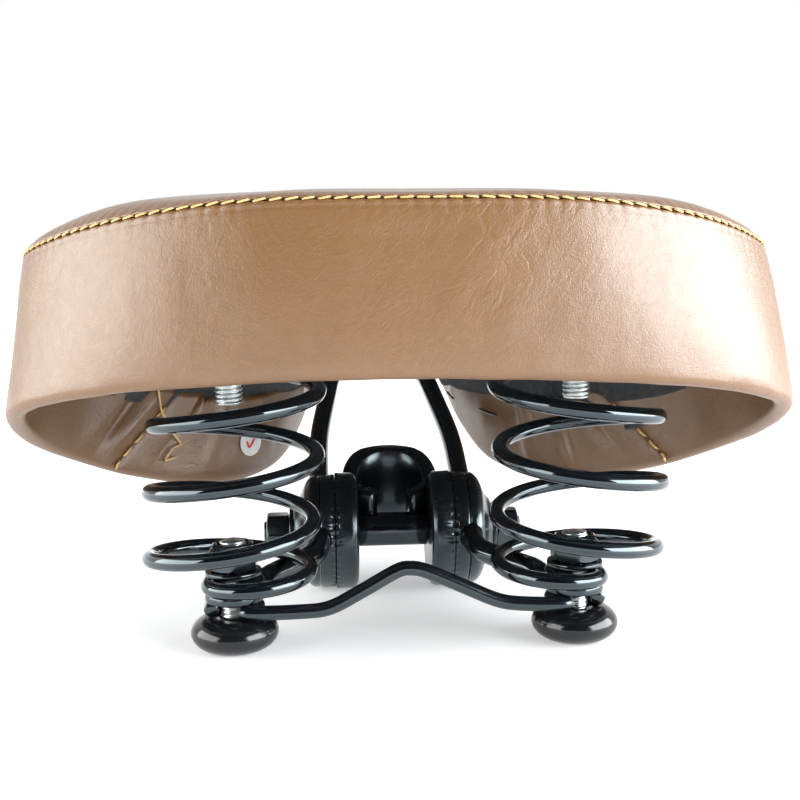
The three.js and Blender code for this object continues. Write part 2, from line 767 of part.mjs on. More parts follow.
place('rail_left', rail(-1), BLACK_STEEL);
place('rail_right', rail(1), BLACK_STEEL);
place('cross_wire', crossWire(), BLACK_STEEL);
place('nose_bracket', noseBracket(), BLACK_STEEL);
place('nose_bolt_rear', noseBolt(NOSE_BOLT_Y[0]), ZINC);
place('nose_bolt_front', noseBolt(NOSE_BOLT_Y[1]), ZINC);

// ---------------------------------------------------------------- seat-post clamp
// Everything here is drawn about the clamp bolt, which runs along X, and then moved to its place.
const toClamp = (geometry) => geometry.translate(0, CLAMP_Y, CLAMP_Z);

function mirroredX(geometry) {
  geometry.scale(-1, 1, 1);
  return facingOut(geometry.index ? geometry : merged(geometry));
}

// Radial teeth that lock the collar to the cheeks, as a thin toothed disc across X.
function toothedDisc(radius, depth, from, to) {
  const teeth = 20;
  const outline = new THREE.Shape();
  for (let i = 0; i < 2 * teeth; i += 1) {
    const angle = (Math.PI * i) / teeth;
    const reach = i % 2 ? radius - depth : radius;
    if (i === 0) outline.moveTo(reach, 0);
    else outline.lineTo(reach * Math.cos(angle), reach * Math.sin(angle));
  }
  outline.closePath();
  const geometry = new THREE.ExtrudeGeometry(outline, { depth: to - from, bevelEnabled: false });
  geometry.rotateY(Math.PI / 2);
  geometry.translate(from, 0, 0);
  return geometry;
}

const BOLT_HOLE = CLAMP_BOLT_RADIUS + GAP;
const boltHole = () => solid(across(BOLT_HOLE, -60, 60, 20));

function collarBand() {
  const outer = upright(COLLAR_OUTER, -12, 34, 24);
  const bore = upright(POST_RADIUS + 0.1, -20, 40, 20);
  outer.translate(0, POST_OFFSET_Y, 0);
  bore.translate(0, POST_OFFSET_Y, 0);
  const mouth = box(-EAR_INNER_X, EAR_INNER_X, -10, POST_OFFSET_Y - 1, -20, 40);
  return solid(outer).intersect(collarSideOutline()).subtract(solid(bore)).subtract(solid(mouth));
}

// The band seen from the side: low at the ears, arched up in front, with a level lower edge.
function collarSideOutline() {
  const front = POST_OFFSET_Y + COLLAR_OUTER + 1;
  const outline = new THREE.Shape();
  outline.moveTo(-2, COLLAR_BOTTOM);
  outline.lineTo(front, COLLAR_BOTTOM);
  outline.lineTo(front, COLLAR_TOP - 1.2);
  outline.quadraticCurveTo(front - 1, COLLAR_TOP, front - 5, COLLAR_TOP);
  outline.quadraticCurveTo(22, 18.5, 15, 13.4);
  outline.lineTo(-2, COLLAR_EAR_TOP);
  outline.closePath();
  const geometry = new THREE.ExtrudeGeometry(outline, { depth: 60, bevelEnabled: false, curveSegments: 6 });
  geometry.rotateX(Math.PI / 2);
  geometry.rotateZ(Math.PI / 2);
  geometry.translate(-30, 0, 0);
  return solid(geometry);
}

function collarEar() {
  const disc = solid(across(DISC_RADIUS, EAR_INNER_X, EAR_OUTER_X - 1.4, 20));
  const teeth = solid(toothedDisc(DISC_RADIUS, 0.9, EAR_OUTER_X - 1.5, EAR_OUTER_X));
  return geometryOf(disc.add(teeth));
}

function postCollar() {
  const right = collarEar();
  const left = mirroredX(collarEar());
  const body = collarBand().add(solid(right)).add(solid(left)).subtract(boltHole());
  const geometry = geometryOf(body);
  geometry.rotateX(COLLAR_TILT);
  return toClamp(geometry);
}

function railChannel() {
  const channel = new THREE.CylinderGeometry(RAIL_RADIUS + GAP, RAIL_RADIUS + GAP, 80, 20);
  channel.rotateX(RAIL_ANGLE);
  const centre = railLinePoint(1, 0);
  channel.translate(centre.x, centre.y - CLAMP_Y, centre.z - CLAMP_Z);
  return solid(channel);
}

function innerCheek() {
  const face = EAR_OUTER_X + GAP;
  const plate = solid(across(DISC_RADIUS - 0.5, face + 1.2, CHEEK_SPLIT_X - 0.15, 20));
  const teeth = solid(toothedDisc(DISC_RADIUS - 0.5, 0.9, face, face + 1.3));
  return toClamp(geometryOf(plate.add(teeth).subtract(boltHole()).subtract(railChannel())));
}

function outerCheek() {
  const start = CHEEK_SPLIT_X + 0.15;
  const dome = turned([
    [0, start],
    [DISC_RADIUS - 0.7, start],
    [DISC_RADIUS - 0.7, start + 2],
    [DISC_RADIUS - 3.5, start + 4.6],
    [12, start + 6.4],
    [9.4, CHEEK_OUTER_X],
    [0, CHEEK_OUTER_X],
  ], 20);
  dome.rotateY(Math.PI / 2);
  return toClamp(geometryOf(solid(dome).subtract(boltHole()).subtract(railChannel())));
}

function clampBolt() {
  return toClamp(across(CLAMP_BOLT_RADIUS, -CLAMP_BOLT_END_X, CLAMP_BOLT_END_X, 20));
}

function clampSleeve() {
  const reach = EAR_INNER_X - GAP;
  const sleeve = ringAbout(BOLT_HOLE, 5.6, -reach, reach, 20);
  sleeve.rotateY(Math.PI / 2);
  return toClamp(sleeve);
}

function clampWasher() {
  const washer = ringAbout(BOLT_HOLE, 8.2, CHEEK_OUTER_X + 0.2, CHEEK_OUTER_X + 1.5);
  washer.rotateY(Math.PI / 2);
  return toClamp(washer);
}

function clampNut() {
  const hex = nut(12, BOLT_HOLE, CHEEK_OUTER_X + 1.7, CLAMP_BOLT_END_X - 0.8);
  hex.rotateY(Math.PI / 2);
  return toClamp(hex);
}

place('post_collar', postCollar(), BLACK_STEEL);
place('clamp_sleeve', clampSleeve(), BLACK_STEEL);
place('clamp_bolt', clampBolt(), BLACK_STEEL);

const clampSide = [
  ['inner_cheek', innerCheek],
  ['outer_cheek', outerCheek],
  ['clamp_washer', clampWasher],
  ['clamp_nut', clampNut],
];
for (const [name, make] of clampSide) {
  place(`${name}_left`, mirroredX(make()), BLACK_STEEL);
  place(`${name}_right`, make(), BLACK_STEEL);
}

export default saddle;
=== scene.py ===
# Sprung bicycle saddle: the looks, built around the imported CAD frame. Shapes here are in millimetres unless
# a name says otherwise, and become metres when a mesh is made.
import math
import random

import bmesh
import bpy
from mathutils import Matrix, Vector, noise


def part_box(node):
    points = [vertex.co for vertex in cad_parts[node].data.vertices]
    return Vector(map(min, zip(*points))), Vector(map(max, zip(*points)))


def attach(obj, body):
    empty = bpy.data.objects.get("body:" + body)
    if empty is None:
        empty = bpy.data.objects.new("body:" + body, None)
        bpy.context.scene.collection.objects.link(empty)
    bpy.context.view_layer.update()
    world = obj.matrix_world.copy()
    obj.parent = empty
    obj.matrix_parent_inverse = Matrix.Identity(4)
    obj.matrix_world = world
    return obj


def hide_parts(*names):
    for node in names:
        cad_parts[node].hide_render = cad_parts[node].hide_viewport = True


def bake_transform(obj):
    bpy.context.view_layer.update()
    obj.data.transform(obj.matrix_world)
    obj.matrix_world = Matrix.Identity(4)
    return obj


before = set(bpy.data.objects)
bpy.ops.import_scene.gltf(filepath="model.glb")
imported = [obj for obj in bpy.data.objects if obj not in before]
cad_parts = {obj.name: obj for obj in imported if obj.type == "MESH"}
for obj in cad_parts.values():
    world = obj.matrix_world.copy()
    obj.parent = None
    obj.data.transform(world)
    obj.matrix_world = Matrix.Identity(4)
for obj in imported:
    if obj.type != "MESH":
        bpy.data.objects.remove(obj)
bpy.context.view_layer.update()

MM = 0.001
TURN = 2 * math.pi
random.seed(11)


def centre_of(node):
    """Middle of a CAD node's box, in millimetres."""
    low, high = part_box(node)
    return Vector([(a + b) / 2 / MM for a, b in zip(low, high)])


# ------------------------------------------------------------------ driving sizes
HALF_LENGTH = 131.0
HALF_WIDTH = 114.2
# Half outline from the middle of the back to the nose tip: x, y, lower rim, seam.
OUTLINE = [
    (0, -HALF_LENGTH, 80.4, 124.3),
    (43, -129, 79.2, 123.6),
    (81, -118, 75.6, 119),
    (107, -95, 68.5, 113.3),
    (HALF_WIDTH, -66, 58, 109.6),
    (108, -38, 47.5, 107.5),
    (86, -14, 36, 106.5),
    (61, 4, 31, 106),
    (45, 22, 33.5, 106),
    (37, 42, 43, 106),
    (33, 62, 53.5, 106),
    (30.5, 84, 60.5, 105.5),
    (27, 106, 62, 105),
    (16.5, 124, 62, 104.5),
    (0, HALF_LENGTH, 62, 104),
]
SPINE = (-78.0, 106.0)
CROWN = [(-78, 128.6), (-40, 127.4), (0, 125), (50, 121), (106, 118)]
RIM_TILT = 0.8              # the lower rim hangs this much lower at the right than in the middle
OFF_CENTRE = 1.0            # the cover is pulled this far over to the right
WALL = 5.6                  # cover, base wall and turned-in cover together
LIP_R = WALL / 2
SKIN = 1.4
WALL_TOP_Z = 61.5
LEFT_WALL_RISE = 2.0        # the turned-in cover reaches this much higher on the left
REAR_WALL_RISE = 23.5
PLATE_Z = 90.5
NOSE_PLATE_Z = 79.0
PLATE_REACH = 30.0
LEAN_NOSE = 1.6             # the wall leans in by this much at the seam, and more at the wide sides
LEAN_LEFT = 5.6
LEAN_RIGHT = 7.6
BELLY = 0.9                 # the wall bellies out this much halfway up; the left side is hollow instead
BELLY_LOST_LEFT = 1.7

STUD = Vector((centre_of("stud_right").x, centre_of("stud_right").y, 0))
STUD_R = 4.0
SPRING_WIRE = 4.5
SPRING_R = 23.0
SPRING_EYE_R = 6.85
SPRING_BOTTOM_Z = 18.95
SPRING_TOP_Z = 86.3
SPRING_PITCH = 18.6
BOLT_HOLE_R = 4.3           # the hole in every washer and nut
WASHER_R = 8.0
NUT_FLATS = 13
STUD_Z = (3.3, 31.3)
SPRING_SEAT_Z = (21.4, 22.9)
LOCK_NUT_Z = (23.1, 29.0)
TOP_BOLT_Z = (70, 92)
TOP_NUT_Z = (77.35, 82.15)
TOP_RING_Z = (82.35, 83.85)

RAIL_R = 3.5
RAIL_X = 24.5
RAIL_ANGLE = math.radians(22.5)
RAIL_ABOVE_BOLT = 7.9
RAIL_EYE_Z = 15.15
RAIL_STRAIGHT_END = 46.0
NOSE_RAIL = Vector((13.5, 105, 65.5))
SLEEVE_Y = 98.0
ROCK_ANGLE = math.radians(6.5)
STRAP = ((-15, 82, 66.5), (15, 107, 70))
STRAP_RISER = ((-6, 82.2, 67), (6, 106.8, 74.8))
NOSE_SCREWS_Y = (("rear", 89), ("front", 101))

CLAMP = Vector((0, centre_of("clamp_bolt").y, centre_of("clamp_bolt").z))
DISC_R = 19.3
EAR = (11.8, 19.3)
POST_R = 11.2
POST_AHEAD = 16.0
COLLAR_R = 16.5
COLLAR_TILT = math.radians(8)
COLLAR_DROP = 6             # the band reaches this far below the clamp bolt
INNER_JAW_X = (19.42, 24.4)
CLAMP_RING_X = (33.2, 34.5)
CLAMP_NUT_X = (34.7, 42.1)
CLAMP_NUT_FLATS = 12
CLAMP_BOLT_HALF = 43

STITCH_PITCH = 3.95
STITCH_LENGTH = 3.5
THREAD_R = 0.27


# ------------------------------------------------------------------ camera first
def look_at(obj, target):
    direction = Vector(target) - obj.location
    obj.rotation_euler = direction.to_track_quat("-Z", "Y").to_euler()


def placed(name, data):
    """A new object in the scene."""
    obj = bpy.data.objects.new(name, data)
    bpy.context.scene.collection.objects.link(obj)
    return obj

CAMERA_PLACE = Vector((-0.0236, -0.411, 0.1096))
CAMERA_YAW = math.radians(3.94)
CAMERA_PITCH = math.radians(6.87)
CAMERA_ROLL = math.radians(0.6)
CAMERA_LENS = 52.6


def add_camera():
    data = bpy.data.cameras.new("camera")
    data.lens = CAMERA_LENS
    data.sensor_width = 36
    data.clip_start = 0.01
    camera = placed("camera", data)
    camera.location = CAMERA_PLACE
    flat = math.cos(CAMERA_PITCH)
    aim = Vector((math.sin(CAMERA_YAW) * flat, math.cos(CAMERA_YAW) * flat, -math.sin(CAMERA_PITCH)))
    look_at(camera, CAMERA_PLACE + aim)
    camera.rotation_euler.rotate_axis("Z", -CAMERA_ROLL)
    bpy.context.scene.camera = camera


add_camera()


# ------------------------------------------------------------------ materials
class Nodes:
    """A small helper that adds nodes and wires to a world, or to a new material of the given name."""

    def __init__(self, owner, coordinates="Object"):
        self.owner = bpy.data.materials.new(owner) if isinstance(owner, str) else owner
        self.owner.use_nodes = True
        self.tree = self.owner.node_tree
        self.shader = self.tree.nodes.get("Principled BSDF")
        self.place = self.add("ShaderNodeTexCoord").outputs[coordinates]

    def add(self, kind, inputs=None, **settings):
        node = self.tree.nodes.new(kind)
        for key, value in settings.items():
            setattr(node, key, value)
        for key, value in (inputs or {}).items():
            if isinstance(value, bpy.types.NodeSocket):
                self.tree.links.new(value, node.inputs[key])
            else:
                node.inputs[key].default_value = value
        return node

    def noise(self, scale, detail=4.0, roughness=0.55, distortion=0.0, vector=None):
        values = {"Vector": vector or self.place, "Scale": scale, "Detail": detail,
                  "Roughness": roughness, "Distortion": distortion}
        return self.add("ShaderNodeTexNoise", values).outputs["Fac"]

    def cells(self, scale, feature="DISTANCE_TO_EDGE", randomness=1.0, vector=None):
        values = {"Vector": vector or self.place, "Scale": scale, "Randomness": randomness}
        return self.add("ShaderNodeTexVoronoi", values, feature=feature).outputs["Distance"]

    def ramp(self, factor, stops):
        node = self.add("ShaderNodeValToRGB", {"Fac": factor})
        elements = node.color_ramp.elements
        while len(elements) < len(stops):
            elements.new(0.5)
        for element, (position, colour) in zip(elements, stops):
            element.position = position
            element.color = (*colour, 1) if len(colour) == 3 else colour
        return node.outputs["Color"]

    def range(self, value, low, high, to_low, to_high):
        inputs = {"Value": value, "From Min": low, "From Max": high, "To Min": to_low, "To Max": to_high}
        return self.add("ShaderNodeMapRange", inputs).outputs["Result"]

    def maths(self, operation, a, b=0.0):
        return self.add("ShaderNodeMath", {0: a, 1: b}, operation=operation).outputs[0]
    def weighted(self, a, share_a, b, share_b):
        """One value times its share, plus another times its own."""
        return self.maths("ADD", self.maths("MULTIPLY", a, share_a), self.maths("MULTIPLY", b, share_b))
    def bump(self, height, strength, distance, below=None):
        inputs = {"Height": height, "Strength": strength, "Distance": distance}
        if below is not None:
            inputs["Normal"] = below
        return self.add("ShaderNodeBump", inputs).outputs["Normal"]

    def finish(self, colour=None, rough=None, normal=None, **fixed):
        for socket, value in (("Base Color", colour), ("Roughness", rough), ("Normal", normal)):
            if value is not None:
                self.tree.links.new(value, self.shader.inputs[socket])
        for key, value in fixed.items():
            self.shader.inputs[key.replace("_", " ")].default_value = value
        return self.owner


def leather(name, dark, mid, light):
    """Soft coated cover: fine wrinkled grain over soft slanting creases, in a slightly cloudy colour, with
    painted shade in the pits of the grain and the troughs of the wrinkles.
    """
    m = Nodes(name)
    turned = m.add("ShaderNodeMapping", {"Vector": m.place, "Rotation": (0.2, -0.8, 0)}).outputs[0]
    slanted = m.add("ShaderNodeMapping", {"Vector": turned, "Scale": (1, 1, 0.62)}).outputs[0]
    drawn = m.add("ShaderNodeMapping", {"Vector": turned, "Scale": (1, 1, 0.42)}).outputs[0]
    swell = m.noise(55, 3, 0.5, 0.6, vector=slanted)
    wrinkle_height = m.noise(420, 5, 0.66, 1.3, vector=slanted)
    pebble = m.range(m.cells(1900, vector=slanted), 0.0, 0.3, 0.0, 1.0)
    streaks = m.noise(105, 4, 0.55, 0.8, vector=drawn)
    ridge = m.range(m.maths("ABSOLUTE", m.maths("SUBTRACT", streaks, 0.5)), 0.0, 0.05, 1.0, 0.0)
    few = m.range(m.noise(24, 3, 0.5), 0.47, 0.64, 0.0, 1.0)
    broken = m.range(m.noise(150, 3, 0.6), 0.42, 0.6, 0.0, 1.0)
    crease = m.maths("MULTIPLY", m.maths("MULTIPLY", ridge, few), broken)
    cloud = m.noise(14, 5, 0.6)
    mottle = m.noise(330, 5, 0.7)
    tone = m.weighted(cloud, 0.6, mottle, 0.4)
    colour = m.ramp(tone, [(0.32, dark), (0.52, mid), (0.72, light)])
    # Painted shade: the colour is darkened where the grain cells meet and where the wrinkles dip, as if
    # shadowed there.
    shade = m.ramp(m.maths("MULTIPLY", pebble, wrinkle_height), [(0.0, (0.74, 0.72, 0.7)), (0.4, (1, 1, 1))])
    mixed = m.add("ShaderNodeMix", {"Factor": 0.4, 6: colour, 7: shade},
                  data_type="RGBA", blend_type="MULTIPLY")
    rough = m.range(m.maths("ADD", mottle, m.maths("MULTIPLY", pebble, 0.2)), 0.3, 0.9, 0.44, 0.32)
    normal = m.bump(swell, 0.3, 0.0012)
    normal = m.bump(crease, 0.22, -0.00028, normal)
    normal = m.bump(wrinkle_height, 0.42, 0.0003, normal)
    normal = m.bump(pebble, 0.3, 0.00008, normal)
    return m.finish(mixed.outputs[2], rough, normal, Specular_IOR_Level=1.0)


def enamel(name, base, rough_low, rough_high):
    """Black stoving enamel over steel: a slow flow in the gloss and faint paler patches."""
    m = Nodes(name)
    flow = m.noise(110, 2, 0.5)
    orange_peel = m.noise(520, 2, 0.5)
    patch = m.noise(60, 4, 0.6)
    colour = m.ramp(patch, [(0.3, base), (0.7, tuple(v * 1.7 + 0.001 for v in base))])
    rough = m.range(m.weighted(orange_peel, 0.3, patch, 0.7), 0.3, 0.7, rough_low, rough_high)
    normal = m.bump(flow, 0.06, 0.0008)
    normal = m.bump(orange_peel, 0.05, 0.00012, normal)
    # Painted reflection colour: the specular tint gives every reflection a blue cast, standing in for bluish
    # light from the floor.
    return m.finish(colour, rough, normal, Specular_IOR_Level=1.0, Specular_Tint=(0.78, 0.94, 1.0, 1.0))


def zinc(name, shade=1.0):
    """Plated steel, spangled and slightly cloudy. A lower shade is bare dull wire."""
    m = Nodes(name)
    spangle = m.cells(700, feature="F1")
    cloud = m.noise(320, 5, 0.6)
    tints = ((0.25, (0.44, 0.49, 0.49)), (0.5, (0.68, 0.74, 0.75)), (0.8, (0.84, 0.85, 0.8)))
    colour = m.ramp(m.weighted(spangle, 0.5, cloud, 0.6),
                    [(at, tuple(v * shade for v in tint)) for at, tint in tints])
    rough = m.range(cloud, 0.3, 0.7, 0.22, 0.42)
    return m.finish(colour, rough, m.bump(cloud, 0.15, 0.00012), Metallic=1.0)


def thread(name):
    """Twisted sewing thread: fine slanting bands, with a painted highlight on their crests and painted shade
    in the grooves between.
    """
    m = Nodes(name)
    twist = m.add("ShaderNodeTexWave", {"Vector": m.place, "Scale": 900.0, "Distortion": 1.5, "Detail": 2.0},
                  wave_type="BANDS", bands_direction="DIAGONAL").outputs["Fac"]
    cloud = m.noise(420, 4, 0.6)
    # Painted highlight and shade: the colour is paler where the twist bands stand high and darker where they
    # dip.
    colour = m.ramp(m.weighted(twist, 0.4, cloud, 0.6),
                    [(0.2, (0.5, 0.24, 0.05)), (0.5, (0.82, 0.5, 0.16)), (0.85, (0.95, 0.74, 0.4))])
    return m.finish(colour, m.range(cloud, 0.3, 0.7, 0.55, 0.4), m.bump(twist, 0.5, 0.0002), Sheen_Weight=0.3)


def felt(name):
    """Black felt: tangled fibres in tufts, with grey fibre ends painted in as highlights where they would
    catch the light.
    """
    m = Nodes(name)
    fibre = m.noise(1300, 8, 0.78, 3.0)
    tuft = m.noise(240, 6, 0.72, 1.6)
    # Painted highlight: the grey top of the ramp paints light catching the fibre ends.
    colour = m.ramp(m.weighted(fibre, 0.6, tuft, 0.4),
                    [(0.38, (0.004, 0.005, 0.006)), (0.52, (0.022, 0.026, 0.031)),
                     (0.7, (0.15, 0.165, 0.18))])
    normal = m.bump(fibre, 1.0, 0.0006, m.bump(tuft, 1.0, 0.0014))
    return m.finish(colour, m.range(fibre, 0.3, 0.7, 0.98, 0.85), normal, Sheen_Weight=0.3)


def moulded(name, base, rough_low, rough_high, lift=1.6):
    """Moulded plastic or rubber with a fine spark-eroded texture."""
    m = Nodes(name)
    texture = m.noise(1300, 3, 0.6)
    patch = m.noise(45, 4, 0.6)
    colour = m.ramp(patch, [(0.3, base), (0.72, tuple(v * lift + 0.003 for v in base))])
    rough = m.range(m.weighted(texture, 0.4, patch, 0.6), 0.3, 0.7, rough_low, rough_high)
    return m.finish(colour, rough, m.bump(texture, 0.2, 0.00012), Specular_IOR_Level=0.5)


def foam(name):
    """Cream cut foam with open pores, painted darker inside as shade."""
    m = Nodes(name)
    pore = m.cells(1100, feature="F1")
    cloud = m.noise(60, 4, 0.6)
    # Painted shade: the colour darkens inside each pore.
    colour = m.ramp(m.weighted(pore, 0.6, cloud, 0.4), [(0.2, (0.5, 0.4, 0.2)), (0.6, (0.78, 0.68, 0.44))])
    return m.finish(colour, m.range(cloud, 0.3, 0.7, 0.9, 0.98), m.bump(pore, 0.8, 0.0004))


def paper(name, base, stain):
    m = Nodes(name)
    fibre = m.noise(900, 5, 0.7)
    colour = m.ramp(fibre, [(0.3, stain), (0.65, base)])
    return m.finish(colour, m.range(fibre, 0.3, 0.7, 0.35, 0.55), m.bump(fibre, 0.15, 0.00005))


TAN = leather("tan_cover", (0.145, 0.066, 0.017), (0.17, 0.079, 0.0215), (0.195, 0.095, 0.029))
ENAMEL = enamel("black_enamel", (0.0025, 0.0032, 0.0042), 0.1, 0.2)
SPRING_ENAMEL = enamel("spring_enamel", (0.002, 0.0028, 0.0038), 0.05, 0.12)
CAST = enamel("clamp_enamel", (0.0028, 0.0034, 0.0044), 0.16, 0.3)
ZINC = zinc("zinc_plate")
STAPLE = zinc("staple_wire", 0.2)
THREAD = thread("gold_thread")
# HOLE paints the shade inside the needle holes, as a near-black brown on small lenses along the seam. It also
# serves the cutters that drill the bolt holes.
HOLE = moulded("needle_hole", (0.03, 0.014, 0.007), 0.8, 0.95)
FELT = felt("black_felt")
BASE = moulded("moulded_base", (0.012, 0.012, 0.013), 0.45, 0.65)
CAP = moulded("foot_cap", (0.003, 0.0036, 0.0045), 0.1, 0.18)
FOAM = foam("cushion_foam")
STICKER = paper("sticker_paper", (0.85, 0.85, 0.84), (0.7, 0.69, 0.67))
STICKER_MARK = paper("sticker_mark", (0.75, 0.06, 0.045), (0.55, 0.04, 0.03))


# ------------------------------------------------------------------ mesh helpers
def make(name, points, faces, material, weld=True):
    """A smooth-shaded object from points in millimetres."""
    mesh = bpy.data.meshes.new(name)
    mesh.from_pydata([Vector(p) * MM for p in points], [], faces)
    mesh.materials.append(material)
    edit = bmesh.new()
    edit.from_mesh(mesh)
    if weld:
        bmesh.ops.remove_doubles(edit, verts=edit.verts, dist=2e-6)
        bmesh.ops.dissolve_degenerate(edit, edges=edit.edges, dist=1e-7)
    bmesh.ops.recalc_face_normals(edit, faces=edit.faces)
    edit.to_mesh(mesh)
    edit.free()
    mesh.shade_smooth()
    return placed(name, mesh)


def circle(count):
    """(cosine, sine) at even steps once round."""
    return [(math.cos(TURN * k / count), math.sin(TURN * k / count)) for k in range(count)]


def grid_faces(rows, columns, wrap_rows=False, wrap_columns=False, start=0):
    faces = []
    for i in range(rows if wrap_rows else rows - 1):
        here, ahead = start + i * columns, start + (i + 1) % rows * columns
        for j in range(columns if wrap_columns else columns - 1):
            k = (j + 1) % columns
            faces.append((here + j, here + k, ahead + k, ahead + j))
    return faces


def end_faces(rows, columns, start=0):
    """The two faces that close the first and last row of a grid."""
    return [tuple(range(first, first + columns)) for first in (start, start + (rows - 1) * columns)]


def join(name, parts):
    """Joins meshes that are one physical piece."""
    target = parts[0]
    edit = bmesh.new()
    materials = []
    for part in parts:
        mesh = part.data
        remap = []
        for material in mesh.materials:
            if material not in materials:
                materials.append(material)
            remap.append(materials.index(material))
        before = len(edit.faces)
        edit.from_mesh(mesh)
        edit.faces.ensure_lookup_table()
        for face in edit.faces[before:]:
            face.material_index = remap[min(face.material_index, len(remap) - 1)]
    mesh = bpy.data.meshes.new(name)
    edit.to_mesh(mesh)
    edit.free()
    for material in materials:
        mesh.materials.append(material)
    for part in parts[1:]:
        bpy.data.objects.remove(part)
    target.data = mesh
    target.name = name
    return target


def moved(obj, matrix):
    obj.data.transform(matrix)
    return obj


def shifted(obj, offset):
    return moved(obj, Matrix.Translation(Vector(offset) * MM))


def turned(obj, angle, axis="X"):
    return moved(obj, Matrix.Rotation(angle, 4, axis))


def mirror(obj):
    """Turns a piece into its mirror image across the centre plane."""
    moved(obj, Matrix.Scale(-1, 4, (1, 0, 0)))
    obj.data.flip_normals()
    return obj


def lathe(name, profile, material, segments=72, axis="Z", closed=False):
    """Turns [radius, height] points about Z, or about X with height running along +X."""
    points = [(r * cos, r * sin, height) for cos, sin in circle(segments) for r, height in profile]
    faces = grid_faces(segments, len(profile), wrap_rows=True, wrap_columns=closed)
    obj = make(name, points, faces, material)
    return turned(obj, math.pi / 2, "Y") if axis == "X" else obj


def washer(name, outer, low, high, material, edge=0.3, axis="Z"):
    """A washer or ring on a bolt, with softened outer edges."""
    inner = BOLT_HOLE_R
    upper = [(outer, high - edge), (outer - edge * 0.3, high - edge * 0.3), (outer - edge, high),
             (inner + edge * 0.5, high), (inner, high - edge * 0.5)]
    lower = [(radius, low + high - z) for radius, z in reversed(upper)]
    return lathe(name, lower + upper, material, 64, axis, closed=True)


def plain_rod(radius, low, high, material):
    """A plain cylinder about Z that cuts a hole."""
    return lathe("cutter", [(0, low), (radius, low), (radius, high), (0, high)], material, 48)


def frames_along(points):
    """(tangent, side, up) at each point of a path, with as little twist as the path allows."""
    pairs = zip(points[:1] + points[:-1], points[1:] + points[-1:])
    tangents = [(ahead - behind).normalized() for behind, ahead in pairs]
    side = tangents[0].cross(Vector((0, 0, 1)))
    if side.length < 1e-4:
        side = Vector((1, 0, 0))
    side.normalize()
    frames = []
    for tangent in tangents:
        side = (side - tangent * side.dot(tangent)).normalized()
        frames.append((tangent, side, tangent.cross(side)))
    return frames


def tube(name, points, radius, material, sides=18, section=None):
    """A round bar with slightly domed ends. section(i) gives (width, height) factors where it isn't round."""
    points = [Vector(p) for p in points]
    first, last = points[0], points[-1]
    into = (points[1] - first).normalized()
    out = (last - points[-2]).normalized()
    dome = [(0.0, -0.22), (0.55, -0.19), (0.85, -0.1)]
    frames = frames_along(points)
    end = len(points) - 1
    rings = [(first + into * ahead * radius, frames[0], share, 0) for share, ahead in dome]
    rings += [(point, frames[i], 1.0, i) for i, point in enumerate(points)]
    rings += [(last - out * ahead * radius, frames[end], share, end) for share, ahead in reversed(dome)]
    verts = []
    for centre, (_, side, up), share, i in rings:
        wide, tall = section(i) if section else (1.0, 1.0)
        for cos, sin in circle(sides):
            verts.append(centre + side * (radius * share * wide * cos) + up * (radius * share * tall * sin))
    return make(name, verts, grid_faces(len(rings), sides, wrap_columns=True), material)


def rounded_path(corners, reaches, step=1.5):
    """Straight runs joined by rounded corners, sampled about every `step` mm."""
    points = []

    def line(a, b):
        count = max(1, int((b - a).length / step))
        points.extend(a.lerp(b, i / count) for i in range(count))

    start = corners[0]
    for i in range(1, len(corners) - 1):
        corner = corners[i]
        entry = corner + (corners[i - 1] - corner).normalized() * reaches[i - 1]
        leave = corner + (corners[i + 1] - corner).normalized() * reaches[i - 1]
        line(start, entry)
        count = max(4, int(2 * reaches[i - 1] / step))
        for k in range(count):
            t = k / count
            points.append(entry * (1 - t) ** 2 + corner * (2 * t * (1 - t)) + leave * t ** 2)
        start = leave
    line(start, corners[-1])
    points.append(corners[-1])
    return points


def between(a, b, c, d, t):
    """A place on the smooth curve through a, b, c and d, at t from b to c. Works for numbers and vectors."""
    return 0.5 * (2 * b + (c - a) * t + (2 * a - 5 * b + 4 * c - d) * t * t
                  + (3 * b - a - 3 * c + d) * t ** 3)


def spline(points, samples):
    """A smooth curve through points, sampled evenly in each span."""
    points = [Vector(p) for p in points]
    padded = [points[0]] + points + [points[-1]]
    spans = zip(padded, padded[1:], padded[2:], padded[3:])
    return [between(*span, k / samples) for span in spans for k in range(samples)] + [points[-1]]


def boolean(target, cutter, operation="DIFFERENCE"):
    modifier = target.modifiers.new("cut", "BOOLEAN")
    modifier.operation = operation
    modifier.object = cutter
    modifier.solver = "EXACT"
    bpy.context.view_layer.update()
    result = bpy.data.meshes.new_from_object(target.evaluated_get(bpy.context.evaluated_depsgraph_get()))
    target.modifiers.clear()
    target.data = result
    bpy.data.objects.remove(cutter)
    return target


def settle(obj, body, slot, *replaced):
    """The piece rides on its body and stands for CAD nodes, which it hides. The slot is not used."""
    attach(obj, body)
    if replaced:
        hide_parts(*replaced)
    return obj


# ------------------------------------------------------------------ the outline that every seat piece follows
def smoothstep(value, low, high):
    t = min(max((value - low) / (high - low), 0.0), 1.0)
    return t * t * (3 - 2 * t)


def lerp(a, b, t):
    return a + (b - a) * t


def outline_curve(samples=80):
    """Dense points (x, y, rim, seam) once round the closed outline, from the middle of the back."""
    knots = OUTLINE + [(-x, *rest) for x, *rest in OUTLINE[-2:0:-1]]
    count = len(knots)
    dense = []
    for i in range(count):
        span = [knots[(i + k) % count] for k in (-1, 0, 1, 2)]
        dense += [[between(*values, k / samples) for values in zip(*span)] for k in range(samples)]
    return dense


